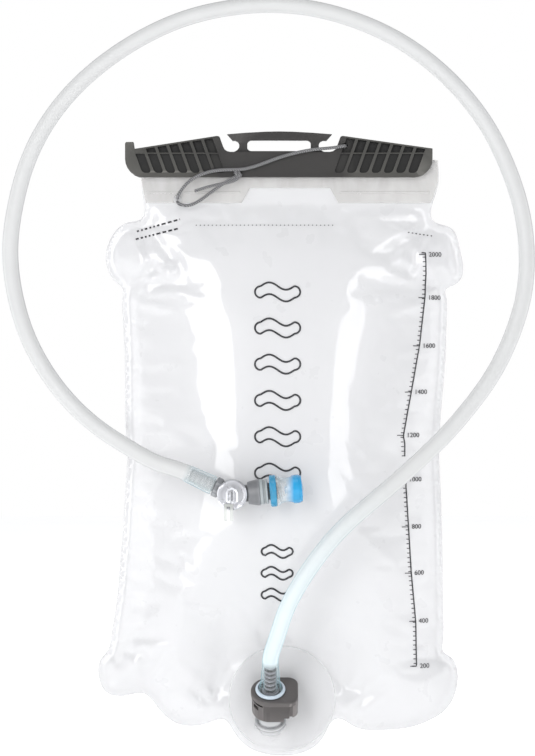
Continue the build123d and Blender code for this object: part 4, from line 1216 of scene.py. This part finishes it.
cord = cord_piece("tether_cord_braided", natural_cubic(CORD, CORD_STEP)[0], CORD_RADIUS, seg=16)
strand = cord_piece("tether_strand", natural_cubic(LOOSE_STRAND, CORD_STEP)[0], CORD_RADIUS,
                    seg=16)
rear_knot = knot_piece("tether_knot_rear", (39.6, 8.4, -0.2), radius=1.6, turns=2, along_y=True)
front_knot = knot_piece("tether_knot_front", (-24.6, -8.0, -17.2), radius=1.3, turns=2)
stretching = [cord, strand, front_knot]
for ob in stretching + [rear_knot]:
    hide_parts("tether_cord")
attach(rear_knot, "closure")
BLEND_LEFT, BLEND_RIGHT = -57.0, 36.0       # x in mm: all bag, all closure
for ob in stretching:
    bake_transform(ob, "root", "closure", Vector((-0.055, -0.007, -0.028)),
             Vector((0.0396, -0.007, -0.0004)))
    # the blend runs straight across in x, from the neck hole to the closure
    share = (vertex_places(ob)[:, 0] * 1000 - BLEND_LEFT) / (BLEND_RIGHT - BLEND_LEFT)
    set_values(ob.data.attributes["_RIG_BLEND"], np.clip(share, 0, 1))

# ---------------------------------------------------------------- carried-over parts
# CAD piece: material, bevel width in mm (0 leaves the edges sharp)
CARRIED = {
    "front_mouth_rail": ("rail", 0.25), "rear_mouth_rail": ("rail", 0.25),
    "slide_closure": ("closure", 0.45), "port_flange": ("clear", 0.22),
    "port_poppet": ("clear", 0.12), "knob_tab": ("tab", 0.2), "plug_oring": ("seal", 0),
    "poppet_seal": ("seal", 0), "swivel_oring": ("seal", 0), "spool_orings": ("seal", 0),
    "outlet_oring": ("seal", 0), "poppet_spring": ("steel", 0),
    "coupler_body": ("coupler", 0.5), "latch_button": ("coupler", 0.35),
    "shutoff_body": ("shutoff", 0.35), "outlet_cone": ("shutoff", 0.3),
    "coupler_barb": ("barb_dark", 0.12), "shutoff_barb": ("barb", 0.12),
    "shutoff_spool": ("barb", 0), "outlet_ring": ("outlet", 0.22),
    "hose_collar": ("collar", 0.15), "shutoff_knob": ("knob", 0.3),
    "bite_valve_ring": ("blue", 0.3), "bite_valve_core": ("blue", 0.3),
    "bite_valve_sheath": ("sheath", 0),
}
for name, (material, bevel) in CARRIED.items():
    part = PARTS[name]
    paint(part, MATERIALS[material])
    if bevel:
        add_modifier(part, "Weld", "WELD", merge_threshold=0.000004)
        add_modifier(part, "Bevel", "BEVEL", width=bevel * MM, segments=2,
                     limit_method="ANGLE", angle_limit=math.radians(32),
                     use_clamp_overlap=True)
        add_modifier(part, "WeightedNormal", "WEIGHTED_NORMAL", keep_sharp=True)


def build_latch_spring():
    """The little coil behind the latch button."""
    length, pitch, radius, wire_radius = 5.6, 0.95, 1.25, 0.2
    foot = PORT_CENTRE - PORT_AXIS * 11.0 + ACROSS * 8.2
    turn = np.linspace(0, length / pitch * 2 * math.pi, 260)[:, None]
    coil = (foot + ACROSS * (turn / (2 * math.pi) * pitch)
            + radius * (np.cos(turn) * np.cross(PORT_AXIS, ACROSS) + np.sin(turn) * PORT_AXIS))
    spring = tube_mesh("latch_spring_coil", coil * MM, wire_radius * MM, seg=10)
    paint(spring, MATERIALS["steel"])
    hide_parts("latch_spring")
    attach(spring, "coupler")
    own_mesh(spring)


build_latch_spring()

# ---------------------------------------------------------------- stage, in metres
FLOOR_Z, FLOOR_RADIUS, FLOOR_SEG = -0.372, 4.0, 64
AIM = (0, 0, -0.18)
VIEW_DISTANCE, VIEW_WIDTH = 2.2, 0.4536     # the camera sees this width at this distance
SENSOR = 36                                 # mm


def build_world():
    """Soft cool light all round, with plain white behind the product."""
    world = bpy.data.worlds.new("studio")
    scene.world = world
    world.use_nodes = True
    nodes, links = world.node_tree.nodes, world.node_tree.links
    ambient = nodes["Background"]
    ambient.inputs["Color"].default_value = (0.97, 0.98, 1.0, 1)
    ambient.inputs["Strength"].default_value = 0.40
    white = nodes.new("ShaderNodeBackground")
    white.inputs["Color"].default_value = (1, 1, 1, 1)
    white.inputs["Strength"].default_value = 1.0
    path = nodes.new("ShaderNodeLightPath")
    mixer = nodes.new("ShaderNodeMixShader")
    links.new(path.outputs["Is Camera Ray"], mixer.inputs[0])
    links.new(ambient.outputs[0], mixer.inputs[1])
    links.new(white.outputs[0], mixer.inputs[2])
    links.new(mixer.outputs[0], nodes["World Output"].inputs["Surface"])


def build_floor():
    verts = [(0, 0, FLOOR_Z)]
    faces = []
    for k in range(FLOOR_SEG):
        angle = 2 * math.pi * k / FLOOR_SEG
        verts.append((FLOOR_RADIUS * math.cos(angle), FLOOR_RADIUS * math.sin(angle), FLOOR_Z))
        faces.append([0, 1 + k, 1 + (k + 1) % FLOOR_SEG])
    floor = mesh_object("studio_floor", verts, faces, smooth=False)
    mat = Material("studio_floor_paint", 0.9, 0.9, Emission_Color=(1, 1, 1, 1),
                   Emission_Strength=0.62)
    mat.mottle(scale=6, detail=2, dark=0.90, light=0.93)
    mat.data.cycles.emission_sampling = "NONE"
    paint(floor, mat)


def softbox(name, centre, width, height, radiance):
    light = bpy.data.lights.new(name, "AREA")
    assign(light, shape="RECTANGLE", size=width, size_y=height,
           energy=radiance * math.pi * width * height)
    ob = link(bpy.data.objects.new(name, light))
    ob.location = centre
    ob.rotation_euler = (Vector(AIM) - Vector(centre)).to_track_quat("-Z", "Y").to_euler()


def at_angle(degrees, distance):
    """Point round the bag, degrees to the right of the camera axis."""
    turn = math.radians(degrees)
    return (math.sin(turn) * distance, -math.cos(turn) * distance, -0.16)


def build_camera():
    data = bpy.data.cameras.new("camera")
    assign(data, lens=SENSOR * VIEW_DISTANCE / VIEW_WIDTH, sensor_width=SENSOR, clip_end=30)
    camera = link(bpy.data.objects.new("camera", data))
    camera.location = (-0.0069, -VIEW_DISTANCE, -0.1392)
    camera.rotation_euler = (math.pi / 2, 0, 0)
    scene.camera = camera


build_world()
build_floor()
softbox("box_left", at_angle(-23.5, 1.9), width=0.70, height=2.6, radiance=4.5)
softbox("box_right", at_angle(18, 1.9), width=0.33, height=2.6, radiance=3.7)
softbox("box_far_left", at_angle(-88, 1.8), width=1.6, height=1.9, radiance=1.5)
softbox("box_far_right", at_angle(88, 1.8), width=1.6, height=1.9, radiance=1.6)
softbox("box_top", (0, -0.6, 1.6), width=1.2, height=0.8, radiance=1.2)
softbox("box_back", at_angle(196, 2.0), width=1.4, height=1.8, radiance=1.3)
build_camera()
assign(scene.view_settings, view_transform="Standard", look="None")
assign(scene.cycles, max_bounces=14, transparent_max_bounces=24)
